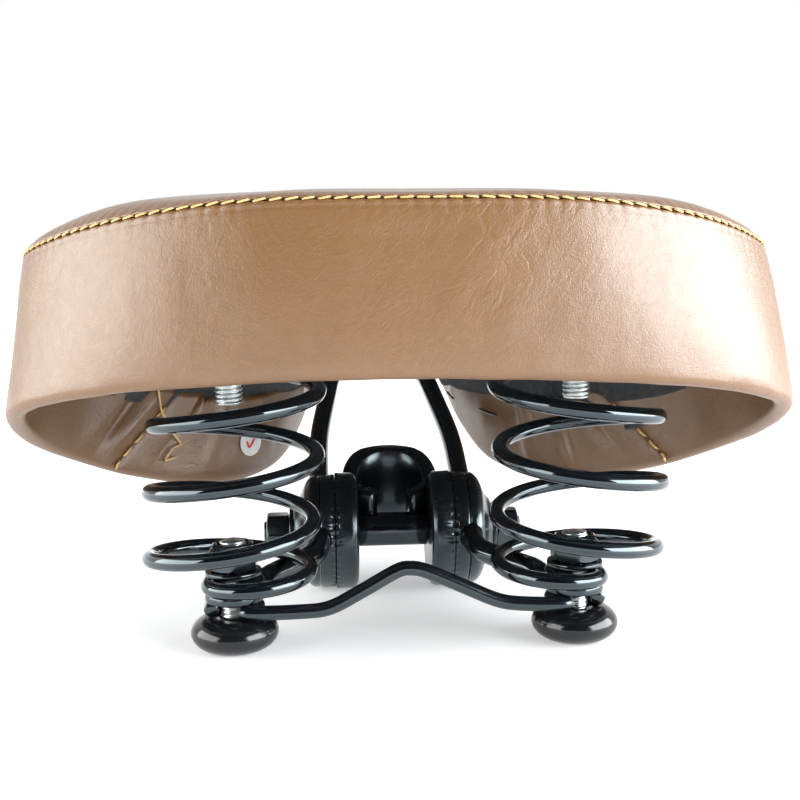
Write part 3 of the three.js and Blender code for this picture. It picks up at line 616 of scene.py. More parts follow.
class Station:
    """One place on the outline, with its inward direction and its own point on the centre line."""

    def __init__(self, values, inward, arc):
        self.x, self.y, self.rim, self.seam = values
        self.x += OFF_CENTRE * smoothstep(abs(self.x), 30, 90)
        self.inward = inward
        self.arc = arc
        out, back, right = abs(self.x), -self.y, self.x > 0
        along = (self.y + HALF_LENGTH) / (2 * HALF_LENGTH)
        self.spine_y = lerp(*SPINE, along)
        self.lean = LEAN_NOSE + (LEAN_RIGHT if right else LEAN_LEFT) * smoothstep(out, 40, 108)
        self.rim -= RIM_TILT * max(-1.0, min(1.0, self.x / 100))
        self.belly = BELLY - (BELLY if right else BELLY_LOST_LEFT) * smoothstep(out, 60, 105)
        rise = REAR_WALL_RISE * smoothstep(back, 2, 80)
        self.wall_top = max(self.rim + 7, WALL_TOP_Z + rise) + LEFT_WALL_RISE * smoothstep(-self.x, 20, 40)
        # 1 at the full rear corners, less on the right and at the very sides, 0 elsewhere
        self.corner = ((1 - 0.5 * smoothstep(self.x, 62, 92)) * smoothstep(out, 46, 98)
                       * (1 - 0.45 * smoothstep(out, 85, 112)) * smoothstep(back, 20, 90))
        self.plate = lerp(PLATE_Z, NOSE_PLATE_Z, smoothstep(self.spine_y, 20, 84))

    def at(self, inset, z):
        return Vector((self.x + self.inward.x * inset, self.y + self.inward.y * inset, z))

    def at_seam(self, inset, lift=0.0):
        """A point this far in from the seam between the top panel and the bands, and this far above it."""
        return self.at(self.wall(self.seam) + inset, self.seam + lift)

    def wall(self, z):
        """How far in the outer wall stands at height z. It leans in to the seam and bellies out a little."""
        t = min(max((self.seam - z) / (self.seam - self.rim), 0.0), 1.0)
        return self.lean * (1 - t) ** 1.35 - self.belly * math.sin(math.pi * t ** 1.2)

    def tuck(self, z):
        """Extra inset of the inner wall, so that it follows the outer wall where that leans in."""
        foot = self.wall(self.rim + LIP_R)
        return 0.5 * foot + max(0.0, self.wall(z) - foot)

    def spine(self, z):
        return Vector((0, self.spine_y, z))


def outline_stations(count):
    dense = outline_curve()
    total = len(dense)
    arcs = [0.0]
    for i in range(total):
        a, b = dense[i], dense[(i + 1) % total]
        arcs.append(arcs[-1] + math.hypot(b[0] - a[0], b[1] - a[1]))
    stations = []
    i = 0
    for k in range(count):
        arc = arcs[-1] * k / count
        while arcs[i + 1] < arc:
            i += 1
        t = (arc - arcs[i]) / (arcs[i + 1] - arcs[i])
        a, b = dense[i % total], dense[(i + 1) % total]
        values = [lerp(p, q, t) for p, q in zip(a, b)]
        ahead, behind = dense[(i + 3) % total], dense[(i - 2) % total]
        tangent = Vector((ahead[0] - behind[0], ahead[1] - behind[1])).normalized()
        stations.append(Station(values, Vector((-tangent.y, tangent.x, 0)), arc))
    return stations, arcs[-1]


PERIMETER = outline_stations(4)[1]
STITCHES = round(PERIMETER / STITCH_PITCH)
PER_STITCH = 7              # fine stations to a stitch
FINE, _ = outline_stations(STITCHES * PER_STITCH)
COARSE, _ = outline_stations(STITCHES)


def crown_height(y):
    clamped = min(max(y, SPINE[0]), SPINE[1])
    for (y0, z0), (y1, z1) in zip(CROWN, CROWN[1:]):
        if clamped <= y1:
            return lerp(z0, z1, smoothstep(clamped, y0, y1))
    return CROWN[-1][1]


SHOULDER = 1.7              # the top panel stands up this much right beside the seam
CORNER_SHOULDER = 4.5       # and this much more at the rear corners and sides
CROWN_POWER = 2.4           # how steeply it then rises to the crown


def top_point(station, share, drop=0.0, inset=0.0):
    """A point of the crowned top, from the seam (share 0) to the centre line (share 1)."""
    start = station.at(station.wall(station.seam) + inset, 0)
    point = start.lerp(station.spine(0), share)
    reach = (point - start).length
    rise = 1 - (1 - share) ** CROWN_POWER
    full = SHOULDER + CORNER_SHOULDER * station.corner
    shoulder = full * (1 - math.exp(-reach / (1.3 + 3.2 * station.corner)))
    centre = crown_height(station.spine_y)
    point.z = station.seam + shoulder + (centre - station.seam - full) * rise - drop
    return point


# ------------------------------------------------------------------ top panel, swelled by cloth simulation
PANEL_SHARES = [0, 0.012, 0.026, 0.045, 0.07, 0.1, 0.14, 0.19, 0.25, 0.32,
                0.4, 0.49, 0.58, 0.67, 0.76, 0.85, 0.93, 1]
LEVEL_SHARE = 0.49          # the row whose mean swell the centre line takes
SWELL_CAP = 2.2
PAD_DEPTH = 14              # the simulated pad's thickness
SWELL_FRAMES = 20
HELD_ROWS = 2


def swell_field():
    """How far the foam pushes each point of the top panel out, from a cloth simulation of panel and pad.

    The seam and the two outermost rows are held, as the stitching holds the real panel. The two halves meet
    at one height along the centre line.
    """
    columns = COARSE[::3]
    rows = PANEL_SHARES[1:]
    points = [top_point(s, share) for s in columns for share in rows]
    under = [top_point(s, share, PAD_DEPTH) for s in columns for share in rows]
    count = len(points)
    faces = grid_faces(len(columns), len(rows), wrap_rows=True)
    faces += [tuple(reversed([v + count for v in face])) for face in faces]
    for i in range(len(columns)):
        a, b = i * len(rows), ((i + 1) % len(columns)) * len(rows)
        faces.append((a, a + count, b + count, b))
    pad = make("swell_trial", points + under, faces, TAN, weld=False)
    held = pad.vertex_groups.new(name="held")
    for i in range(2 * count):
        if i >= count or i % len(rows) < HELD_ROWS:
            held.add([i], 1.0, "REPLACE")
    settings = pad.modifiers.new("cloth", "CLOTH").settings
    settings.vertex_group_mass = "held"
    settings.use_pressure = True
    settings.uniform_pressure_force = 4.0
    settings.tension_stiffness = 40
    settings.compression_stiffness = 20
    settings.bending_stiffness = 6
    settings.effector_weights.gravity = 0
    scene = bpy.context.scene
    for number in range(1, SWELL_FRAMES + 1):
        scene.frame_set(number)
    result = pad.evaluated_get(bpy.context.evaluated_depsgraph_get()).data
    field = []
    for first in range(0, count, len(rows)):
        pushes = [result.vertices[k].co.z / MM - points[k].z for k in range(first, first + len(rows))]
        field.append([0.0] + [max(-SWELL_CAP, min(SWELL_CAP, push)) for push in pushes])
    scene.frame_set(1)
    bpy.data.objects.remove(pad)
    level = PANEL_SHARES.index(LEVEL_SHARE)
    middle = sum(row[level] for row in field) / len(field)
    return [[lerp(push, middle, smoothstep(share, 0.45, 0.95)) for push, share in zip(row, PANEL_SHARES)]
            for row in field]


def field_at(field, place, j):
    """The swell at a place round the outline (0 to 1), in row j."""
    position = place * len(field)
    i = int(position)
    return lerp(field[i % len(field)][j], field[(i + 1) % len(field)][j], position - i)


random_pull = [random.uniform(0.65, 1.35) for _ in range(STITCHES)]


def pucker(k):
    """0 where the needle went through, 1 in the middle of a stitch, uneven from stitch to stitch."""
    phase = (k % PER_STITCH) / PER_STITCH
    strength = random_pull[(k // PER_STITCH) % STITCHES]
    return 1 - (1 - abs(math.sin(math.pi * phase))) * strength


def wrinkle(point, scale, seed=0.0):
    return noise.noise(Vector((point.x * scale + seed, point.y * scale, point.z * scale * 0.6)))


def top_panel():
    field = swell_field()
    edge = [(1.7, -0.1), (0.75, 0.05), (0.34, 0.26), (0.1, 0.62)]
    columns = len(edge) + len(PANEL_SHARES) - 1
    points = []
    for k, station in enumerate(FINE):
        pull = 1 - pucker(k)
        start = station.at_seam(0).xy.to_3d()
        points += [station.at_seam(inset + 0.22 * pull, rise + 0.1 * pull) for inset, rise in edge]
        for j, share in enumerate(PANEL_SHARES[1:], 1):
            point = top_point(station, share)
            reach = share * (station.spine(0) - start).length
            fade = math.exp(-reach / 2.2)
            point += (station.inward - Vector((0, 0, 0.6))) * (0.3 * pull * fade)
            if field:
                point.z += field_at(field, k / len(FINE), j)
            point.z += 0.35 * wrinkle(point, 0.028) * min(1, reach / 8)
            points.append(point)
    under = []
    for station in FINE:
        under.append(station.at_seam(1.8, -0.1))
        under += [top_point(station, share, 2.2, 1.7) for share in (0.02, 0.3, 1)]
    start = len(points)
    faces = grid_faces(len(FINE), columns, wrap_rows=True)
    faces += [tuple(reversed(face)) for face in grid_faces(len(FINE), 4, wrap_rows=True, start=start)]
    for i in range(len(FINE)):
        j = (i + 1) % len(FINE)
        faces.append((i * columns, start + i * 4, start + j * 4, j * columns))
    panel = make("cover_top_panel", points + under, faces, TAN)
    settle(panel, "seat", "tan_cover", "cover_top")


# ------------------------------------------------------------------ side bands with their turned-in lip
SIDE_SEAM_Y = -23.0
SEAM_SLANT = 1.12            # the side seams lean forward as they climb the inner wall
FOLDS = [  # gathers of the inner wall: side, y, slant, depth, width. A negative depth is a crease.
    (1, -118, 0.25, 0.4, 3.2), (-1, -112, -0.3, 0.4, 3.6), (1, -84, 0.2, 0.4, 3.4), (-1, -70, -0.2, 0.4, 3.4),
    (-1, -26.5, 0, 1.3, 2.6), (-1, -30.2, 0, -1.1, 1.5), (-1, -34, 0, 1.2, 4.0), (-1, -2, 0.3, 0.5, 2.6),
    (-1, 20, -0.2, 0.6, 2.4), (1, -2, 0.2, 2.2, 1.9), (1, 8, 0.2, 1.5, 2.2), (1, 24, 0.15, 0.3, 3.6),
    (1, 52, 0.1, 0.6, 2.6), (-1, 48, -0.1, 0.6, 2.6),
]
NEAR_SEAM = [(0.1, 1.6), (0.14, 0.65), (0.34, 0.25), (0.75, 0.05), (1.35, 0.0), (1.75, 0.14), (2.2, 0.03),
             (3.2, 0), (4.6, 0), (6.6, 0)]      # drop below the seam, and how far in the stitching pulls it
OUTER_ROWS = 17
INNER_ROWS = 14


def station_near(y, side):
    """The fine station on one side whose edge is at y."""
    found = [s for s in FINE if s.x * side > 0]
    return min(found, key=lambda s: abs(s.y - y) + (30 if abs(s.x) < 3 else 0))


GATHERS = [(station_near(y, side).arc, side, *shape) for side, y, *shape in FOLDS]


def inner_fold(station, z, side):
    """Depth of the gathers where the cover is pulled round the lip and up inside."""
    height = z - station.rim
    total = 0.0
    for arc, fold_side, slant, depth, width in GATHERS:
        if fold_side * side > 0:
            offset = station.arc - arc - fold_side * slant * height
            total += depth * math.exp(-(offset / width) ** 2)
    return total * smoothstep(height, 3, 12)


def seam_slide(station, z, to_seam):
    """Sideways shift of the inner wall along the outline, so that its side seam leans."""
    along = Vector((station.inward.y, -station.inward.x, 0))
    if along.y < 0:
        along = -along
    return along * (SEAM_SLANT * max(0.0, z - station.rim - LIP_R) * math.exp(-(to_seam / 45) ** 2))


def inner_point(station, z, lift=0.0):
    """A point on the inner face of the turned-in cover."""
    ripple = 0.5 * wrinkle(station.at(WALL, z), 0.07, 12.0) * smoothstep(z - station.rim, 2, 8)
    fold = inner_fold(station, z, station.x)
    return station.at(WALL + 0.1 + station.tuck(z) + ripple + fold + lift, z)


def band_section(k, station, curl, to_seam):
    """The closed section of a band: down outside, round the lip, up inside, and back on its hidden side."""
    seam, rim, wall = station.seam, station.rim, station.wall
    section = []
    for drop, inset in NEAR_SEAM:
        sink = (1 - pucker(k)) * math.exp(-drop / 1.6)
        section.append(station.at(wall(seam - drop) + inset + 0.3 * sink + curl, seam - drop - 0.12 * sink))
    top, bottom = seam - 8.5, rim + LIP_R
    for i in range(OUTER_ROWS):
        z = lerp(top, bottom, i / (OUTER_ROWS - 1))
        raw = station.at(wall(z), z)
        ripple = 0.28 * wrinkle(raw, 0.05, 3.0) + 0.12 * wrinkle(raw, 0.13, 9.0)
        section.append(station.at(wall(z) + ripple + curl, z))
    foot = wall(bottom)
    ripple = 0.18 * wrinkle(station.at(0, rim), 0.09, 5.0)
    for i in range(1, 10):
        angle = math.pi * i / 10
        section.append(station.at(foot + LIP_R - LIP_R * math.cos(angle) + ripple * 0.5,
                                  bottom - LIP_R * math.sin(angle) + 0.1 + ripple))
    place = station.at(0, 50)
    ragged = 0.9 * wrinkle(place, 0.11, 20.0) + 0.5 * wrinkle(place, 0.4, 30.0)
    inner_top = station.wall_top - 1.5 + ragged
    for i in range(INNER_ROWS):
        z = lerp(bottom, inner_top, i / (INNER_ROWS - 1))
        section.append(inner_point(station, z, -curl) + seam_slide(station, z, to_seam))
    tucked = WALL - SKIN + foot * 0.5 + station.tuck(inner_top)
    section.append(station.at(tucked, inner_top + 0.2) + seam_slide(station, inner_top, to_seam))
    section += [station.at(inset + foot, rim + 2.4) for inset in (WALL - SKIN, SKIN)]
    for z in (lerp(rim, seam, 0.35), lerp(rim, seam, 0.7), seam - 1.5):
        section.append(station.at(wall(z) + SKIN + 0.3 + curl, z))
    section.append(station.at_seam(1.9, -0.1))
    return section


def band(name, members, *replaced):
    """A band over a run of stations, with both ends curled in where the side seams close."""
    points = []
    for i, (k, station) in enumerate(members):
        to_end = min(i, len(members) - 1 - i)
        points += band_section(k, station, 0.9 * math.exp(-to_end / 2.2), to_end)
    width = len(points) // len(members)
    faces = grid_faces(len(members), width, wrap_columns=True) + end_faces(len(members), width)
    settle(make(name, points, faces, TAN), "seat", "tan_cover", *replaced)


def side_bands():
    """The rear and nose bands, parted at the two side seams."""
    numbered = list(enumerate(FINE))
    nose = [item for item in numbered if item[1].y >= SIDE_SEAM_Y]
    behind = [item for item in numbered if item[1].y < SIDE_SEAM_Y]
    left = [item for item in behind if item[1].arc >= PERIMETER / 2]
    right = [item for item in behind if item[1].arc < PERIMETER / 2]
    band("cover_rear_side", [nose[-1]] + left + right + [nose[0]], "cover_rear_band")
    band("cover_nose_side", nose, "cover_nose_band")


# ------------------------------------------------------------------ stitches, staples, sticker, loose thread
def capsule_row(paths, radius, material, name, sides=7):
    """Many short threads in one mesh. Each path is a list of points."""
    verts, faces = [], []
    for path in paths:
        start, last = len(verts), len(path) - 1
        for i, (point, (_, side, up)) in enumerate(zip(path, frames_along(path))):
            size = radius * (0.35 if i in (0, last) else 1.0)
            verts += [point + (side * cos + up * sin) * size for cos, sin in circle(sides)]
        faces += grid_faces(len(path), sides, wrap_columns=True, start=start)
        faces += end_faces(len(path), sides, start)
    return make(name, verts, faces, material, weld=False)


def needle_hole(centre, normal, verts, faces, radius=0.24, depth=0.14, sides=10):
    """A shallow lens, coloured dark as painted shade, where the needle went through."""
    right = normal.cross(Vector((0, 0, 1))).normalized()
    up = right.cross(normal)
    start = len(verts)
    faces += grid_faces(3, sides, wrap_columns=True, start=start) + end_faces(3, sides, start)
    for share, lift in ((1.0, -0.2), (0.8, 0.4), (0.4, 0.85)):
        verts += [centre + (right * cos + up * sin) * (radius * share) + normal * depth * lift
                  for cos, sin in circle(sides)]


def seam_thread():
    """A stitch over each pucker round the top seam, a little uneven, with a dark lens of painted shade for
    the needle hole between stitches.
    """
    paths, verts, faces = [], [], []
    for j in range(STITCHES):
        first = j * PER_STITCH
        station = FINE[first]
        tilt = -0.27 * max(-1.0, min(1.0, station.x / 25)) + 0.07 * random.uniform(-1, 1)
        length = STITCH_LENGTH * random.uniform(0.93, 1.03)
        path = []
        for i in range(9):
            u = i / 8
            offset = ((u - 0.5) * length / STITCH_PITCH + 0.5) * PER_STITCH + first
            k = int(offset)
            depth = 0.08 + 0.95 * (abs(2 * u - 1) ** 5)
            a, b = (FINE[n % len(FINE)].at_seam(depth) for n in (k, k + 1))
            point = a.lerp(b, offset - k)
            point.z += tilt * (2 * u - 1) + 0.08
            path.append(point)
        paths.append(path)
        needle_hole(station.at_seam(0.62, 0.08), -station.inward, verts, faces)
    stitches = capsule_row(paths, THREAD_R, THREAD, "top_seam_thread")
    holes = make("holes", verts, faces, HOLE, weld=False)
    settle(join("top_seam_thread", [stitches, holes]), "seat", "tan_cover")


def side_seam_thread():
    """The rear and nose bands are joined by a row of stitches that shows on the inner wall."""
    paths = []
    for side in (-1, 1):
        station = station_near(SIDE_SEAM_Y + 0.3, side)
        z = station.rim + 1.2
        while z < station.wall_top - 9:
            path = []
            for i in range(7):
                u = i / 6
                depth = 0.25 - 0.9 * abs(2 * u - 1) ** 4
                height = z + 3.0 * u
                path.append(inner_point(station, height, depth) + seam_slide(station, height, 0))
            paths.append(path)
            z += STITCH_PITCH
    settle(capsule_row(paths, 0.42, THREAD, "side_seam_thread"), "seat", "tan_cover")


def loose_thread():
    """The tail of the sewing thread, left long and kinked on the left inner wall."""
    anchor = station_near(-13, -1)
    ahead = station_near(-7, -1)
    along = (ahead.at(0, 0) - anchor.at(0, 0)).normalized()
    kinks = [(0.9, 68.5), (1.6, 64), (2.2, 60.3), (6.0, 53.2), (10.2, 47.7), (6.9, 46.8), (4.3, 43.6),
             (3.9, 42.7), (8.1, 43.6)]
    points = [inner_point(anchor, z, 1.2) + along * shift for shift, z in kinks]
    path = rounded_path(points, [0.5] * (len(points) - 2), 0.5)
    settle(tube("loose_thread", path, 0.34, THREAD, 8), "seat", "tan_cover")


# y of one leg, and the side
STAPLES = [(-121, -1), (-129, -1), (-129, 1), (-121, 1), (20, 1), (50, 1), (92, 1), (76, -1), (98, -1)]
STAPLE_SPAN = 15            # fine stations from leg to leg
STAPLE_LEG = 2.2


def staples():
    """Wire staples that hold the turned-in cover to the moulded base, at the back and in the nose."""
    paths = []
    for y, side in STAPLES:
        a = station_near(y, side)
        b = FINE[(FINE.index(a) + STAPLE_SPAN) % len(FINE)]
        drop = random.uniform(9.0, 10.5) if y > 0 else random.uniform(4.0, 5.0)
        drop = min(drop, 0.5 * (a.wall_top - a.rim))
        tilt = side * (1.3 if 0 < y < 60 else 0.0) + random.uniform(-0.5, 0.5)
        pa, pb = inner_point(a, a.wall_top - drop, 0.15), inner_point(b, a.wall_top - drop + tilt, 0.15)
        into = a.inward * -STAPLE_LEG
        crown = [pa.lerp(pb, share) for share in (0, 0.12, 0.5, 0.88, 1)]
        paths.append([pa + into, pa + into * 0.3] + crown + [pb + into * 0.3, pb + into])
    settle(capsule_row(paths, 0.5, STAPLE, "cover_staples", 8), "seat", "zinc_steel")


def inspection_sticker():
    """A small round paper label with a plain red tick on the left inner wall."""
    station = station_near(11, -1)
    centre = inner_point(station, 45, 0)
    normal = station.inward.normalized()
    right = Vector((0, 0, 1)).cross(normal)
    disc = ((0.01, 0.75), (2.2, 0.75), (4.2, 0.72), (4.9, 0.68), (5.0, 0.6), (5.0, 0.4))    # radius, lift
    verts = [centre + normal * lift + (right * cos + Vector((0, 0, sin))) * radius
             for radius, lift in disc for cos, sin in circle(48)]
    faces = grid_faces(len(disc), 48, wrap_columns=True) + end_faces(len(disc), 48)[1:]
    label = make("label", verts, faces, STICKER)
    tick = [(-2.2, 0.4), (-0.8, -1.6), (2.4, 2.2)]
    path = spline([centre + normal * 0.8 + right * x + Vector((0, 0, z)) for x, z in tick], 8)
    mark = tube("mark", path, 0.42, STICKER_MARK, 8)
    settle(join("inspection_sticker", [label, mark]), "seat", "tan_cover")


# ------------------------------------------------------------------ foam, moulded base and felt
BASE_INSET = 2.8
SHELL = 2.2


def base_line(station):
    """The base from the foot of its wall up and in to the plate: [reach from the wall, height]."""
    top, plate = station.wall_top, station.plate
    rise = plate - top
    wall = station.at(BASE_INSET, 0)
    to_spine = (wall - station.spine(0)).length
    reach = min(PLATE_REACH, 0.55 * to_spine)
    knots = [(0, top - 4), (0, top), (reach * 0.12, top + rise * 0.35), (reach * 0.4, top + rise * 0.75),
             (reach, plate), (to_spine * 0.94, plate)]
    curve = spline([Vector((a, b, 0)) for a, b in knots], 5)
    upright = [Vector((0, lerp(station.rim + 3, top - 4, i / 3), 0)) for i in range(3)]
    return upright + curve


def base_sheet(name, offset, thickness, material, first=0, rough=0.0):
    """A sheet that follows the base, `offset` above its middle surface."""
    shifts = (offset + thickness / 2, offset - thickness / 2)
    points = []
    for station in COARSE:
        line = base_line(station)
        wall = station.at(BASE_INSET + 0.4 + station.tuck(station.wall_top), 0)
        inward = (station.spine(0) - wall).normalized()
        hidden = station.wall(station.rim + LIP_R)
        upper, lower = [], []
        for i in range(first, len(line)):
            before, after = line[max(i - 1, 0)], line[min(i + 1, len(line) - 1)]
            run = (after - before).normalized()
            place = Vector((station.x * 0.09, station.y * 0.09, line[i].x * 0.08 + line[i].y * 0.1))
            shove = rough * noise.noise(place)
            for row, shift in zip((upper, lower), shifts):
                reach = line[i].x - run.y * shift
                height = line[i].y + run.x * shift
                if reach <= 2:
                    inset = BASE_INSET + 0.5 * hidden + station.tuck(height) + reach
                    point = station.at(inset, height + shove * 0.4)
                else:
                    point = wall + inward * reach
                    point.z = height + shove
                row.append(point)
        upper.append(station.spine(station.plate + shifts[0]))
        lower.append(station.spine(station.plate + shifts[1]))
        points += upper + lower[::-1]
    faces = grid_faces(len(COARSE), len(points) // len(COARSE), wrap_rows=True, wrap_columns=True)
    return make(name, points, faces, material)


def drilled(target, radius, low, high):
    """Holes for the two top bolts."""
    for side in (-1, 1):
        boolean(target, shifted(plain_rod(radius, low, high, HOLE), (side * STUD.x, STUD.y, 0)))
    return target


def base_and_lining():
    shell = drilled(base_sheet("base_moulding", 0, SHELL, BASE), STUD_R + 0.4, 80, 100)
    settle(shell, "seat", "moulded_base", "base_shell")
    lining = base_sheet("felt_lining", -(SHELL / 2 + 1.9), 1.5, FELT, first=5, rough=1.1)
    settle(drilled(lining, 12.5, 78, 95), "seat", "black_felt", "felt_liner")


def felt_tab():
    """A loose end of the felt strip that hangs down by the right side seam."""
    start, end = inner_point(station_near(-13, 1), 51.5, 0.9), inner_point(station_near(-20, 1), 55.5, 0.6)
    path = spline([start, start.lerp(end, 0.5) + Vector((0, 0, -0.5)), end], 10)
    settle(tube("felt_tab", path, 0.9, FELT, 12, lambda i: (0.6, 1.4)), "seat", "black_felt")


def foam_cushion():
    """The cushion under the cover: crowned on top, following the base below, pulled in at its sides."""
    lift = SHELL / 2 + 1.4
    stations = COARSE[::2]
    points = []
    for station in stations:
        points += [top_point(station, share, 3.0, 2.6) for share in (1, 0.8, 0.6, 0.4, 0.22, 0.1, 0.03)]
        low = station.wall_top + 6
        side = station.wall((station.seam + low) / 2)
        points += [station.at_seam(3.2, -3), station.at(side + 2.4, lerp(station.seam, low, 0.5)),
                   station.at(side + 3.0, low)]
        wall = station.at(BASE_INSET + 1, 0)
        inward = (station.spine(0) - wall).normalized()
        for place in base_line(station)[12::4]:
            under = wall + inward * (place.x + 2)
            under.z = place.y + lift
            points.append(under)
        points.append(station.spine(station.plate + lift))
    faces = grid_faces(len(stations), len(points) // len(stations), wrap_rows=True)
    cushion = make("foam_cushion", points, faces, FOAM)
    settle(drilled(cushion, 9.2, 85, 96.5), "seat", "foam", "foam_pad")


# ------------------------------------------------------------------ springs, studs, feet and fasteners
def flat_sided(obj, angle=32):
    obj.data.set_sharp_from_angle(angle=math.radians(angle))
    return obj


def spring_sway(side, z):
    """How far the coils lean to the right: neither spring stands quite straight."""
    if side < 0:
        return 2.0 * smoothstep(z, 35, 68) * (1 - smoothstep(z, 76, 86))
    return 1.5 * math.exp(-((z - 50) / 12) ** 2)


def spring_points(side, steps=64):
    """The wire starts as an eye round the stud, opens out, climbs, and closes on the top bolt."""
    start, end = -0.7, 5.05     # turns, counted from where the wire leaves the eye
    points = []
    count = int((end - start) * steps)
    for i in range(count + 1):
        turn = lerp(start, end, i / count)
        opened = smoothstep(turn, 0, 0.62) - smoothstep(turn, 3.55, 4.45)
        radius = lerp(SPRING_EYE_R, SPRING_R, opened)
        angle = math.pi + TURN * turn
        if turn <= 0:
            z = SPRING_BOTTOM_Z
        elif turn < 1:
            z = lerp(SPRING_BOTTOM_Z, 27, turn ** 1.7)
        else:
            z = min(27 + SPRING_PITCH * (turn - 1), SPRING_TOP_Z)
        x = side * (STUD.x - radius * math.cos(angle)) + spring_sway(side, z)
        points.append(Vector((x, STUD.y + radius * math.sin(angle), z)))
    return points


def coil_spring(side, word):
    spring = tube(f"coil_spring_{word}", spring_points(side), SPRING_WIRE / 2, SPRING_ENAMEL, 22)
    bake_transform(spring)
    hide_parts(f"spring_{word}")


def threaded(name, radius, low, high, material, pitch=1.25, depth=0.55, sides=28):
    """A screw thread about Z, with pointed crests, softened ends and a true helix."""
    per_pitch = 6
    rows = int((high - low) / pitch * per_pitch)
    points = []
    for i in range(rows + 1):
        z = lerp(low, high, i / rows)
        taper = min(1, (high - z) / 0.8 + 0.25, (z - low) / 0.8 + 0.25)
        for k, (cos, sin) in enumerate(circle(sides)):
            phase = ((z - low) / pitch - k / sides) % 1
            groove = abs(2 * phase - 1)
            r = (radius - depth * groove) * (0.82 + 0.18 * taper)
            points.append((r * cos, r * sin, z))
    faces = grid_faces(rows + 1, sides, wrap_columns=True) + end_faces(rows + 1, sides)
    return make(name, points, faces, material)


def hexagon(name, across_flats, hole, low, high, material, collar=0.0):
    """A hexagon nut or bolt head about Z, with turned corners and a washer face."""
    segments = 96
    apothem = across_flats / 2
    inner = max(hole, 0.01)
    points = []
    for k, (cos, sin) in enumerate(circle(segments)):
        local = (TURN * k / segments + math.pi / 6) % (math.pi / 3) - math.pi / 6
        radius = min(apothem / math.cos(local), apothem * 1.135)
        cut = max(0.0, radius - apothem * 0.97) * math.tan(math.radians(30))
        ring = [(inner, low + 0.4), (inner + 0.5, low), (apothem * 0.93, low), (radius - 0.12, low + cut),
                (radius, low + cut + 0.15), (radius, high - cut - 0.15), (radius - 0.12, high - cut),
                (apothem * 0.93, high)]
        if collar:
            ring += [(inner + 1.5, high + 0.02), (inner + 1.4, high + collar - 0.4),
                     (inner + 1.0, high + collar)]
        ring += [(inner + 0.5, high + collar), (inner, high + collar - 0.4)]
        points += [(r * cos, r * sin, z) for r, z in ring]
    faces = grid_faces(segments, len(points) // segments, wrap_rows=True, wrap_columns=True)
    return flat_sided(make(name, points, faces, material))


FOOT_PROFILE = [
    (0.01, 0), (5.2, 0), (7.6, 0.12), (9.4, 0.62), (10.9, 1.6), (11.95, 2.9), (12.45, 4.3), (12.4, 5.6),
    (11.9, 6.9), (11.0, 8.0), (9.9, 8.8), (8.9, 9.25), (8.2, 9.45), (7.6, 9.5), (4.5, 9.5), (4.35, 9.3),
    (4.35, 3), (0.01, 3),
]
BOLT_HEAD_PROFILE = [(0.01, 92), (8.4, 92), (8.5, 92.4), (8.0, 93.3), (6.6, 94.4), (4.4, 95.0), (2, 95.2),
                     (0.01, 95.25)]


def spring_ends(side, word):
    """What sits on one stud under the spring, and what holds the spring to the base above it."""
    thread_r = STUD_R - 0.05
    foot = lathe(f"foot_cap_{word}", FOOT_PROFILE, CAP, 96)
    stud = threaded(f"stud_rod_{word}", thread_r, *STUD_Z, ZINC)
    seat = washer(f"spring_seat_{word}", WASHER_R, *SPRING_SEAT_Z, ENAMEL)
    lock_nut = hexagon(f"lock_nut_body_{word}", NUT_FLATS, BOLT_HOLE_R, *LOCK_NUT_Z, ENAMEL, collar=1.7)
    shank = threaded(f"top_bolt_thread_{word}", thread_r, *TOP_BOLT_Z, ZINC)
    bolt = join(f"top_bolt_body_{word}", [shank, lathe("head", BOLT_HEAD_PROFILE, ZINC)])
    ring = washer(f"top_ring_{word}", WASHER_R, *TOP_RING_Z, ZINC)
    nut = hexagon(f"top_nut_body_{word}", NUT_FLATS, BOLT_HOLE_R, *TOP_NUT_Z, ZINC)
    for obj, body, slot, node in (
            (foot, "undercarriage", "foot_rubber", "foot"), (stud, "undercarriage", "zinc_steel", "stud"),
            (seat, "undercarriage", "black_steel", "spring_washer"),
            (lock_nut, "undercarriage", "black_steel", "lock_nut"), (bolt, "seat", "zinc_steel", "top_bolt"),
            (ring, "seat", "zinc_steel", "top_washer"), (nut, "seat", "zinc_steel", "top_nut")):
        settle(shifted(obj, (side * STUD.x, STUD.y, 0)), body, slot, f"{node}_{word}")


# ------------------------------------------------------------------ rails, cross wire and nose bracket
ALONG = Vector((0, math.cos(RAIL_ANGLE), math.sin(RAIL_ANGLE)))


def rail_point(side, travel):
    """A point on the straight stretch of a rail, measured from the clamp."""
    across = Vector((side * RAIL_X, CLAMP.y - RAIL_ABOVE_BOLT * math.sin(RAIL_ANGLE), 0))
    return across + Vector((0, 0, CLAMP.z + RAIL_ABOVE_BOLT * math.cos(RAIL_ANGLE))) + ALONG * travel


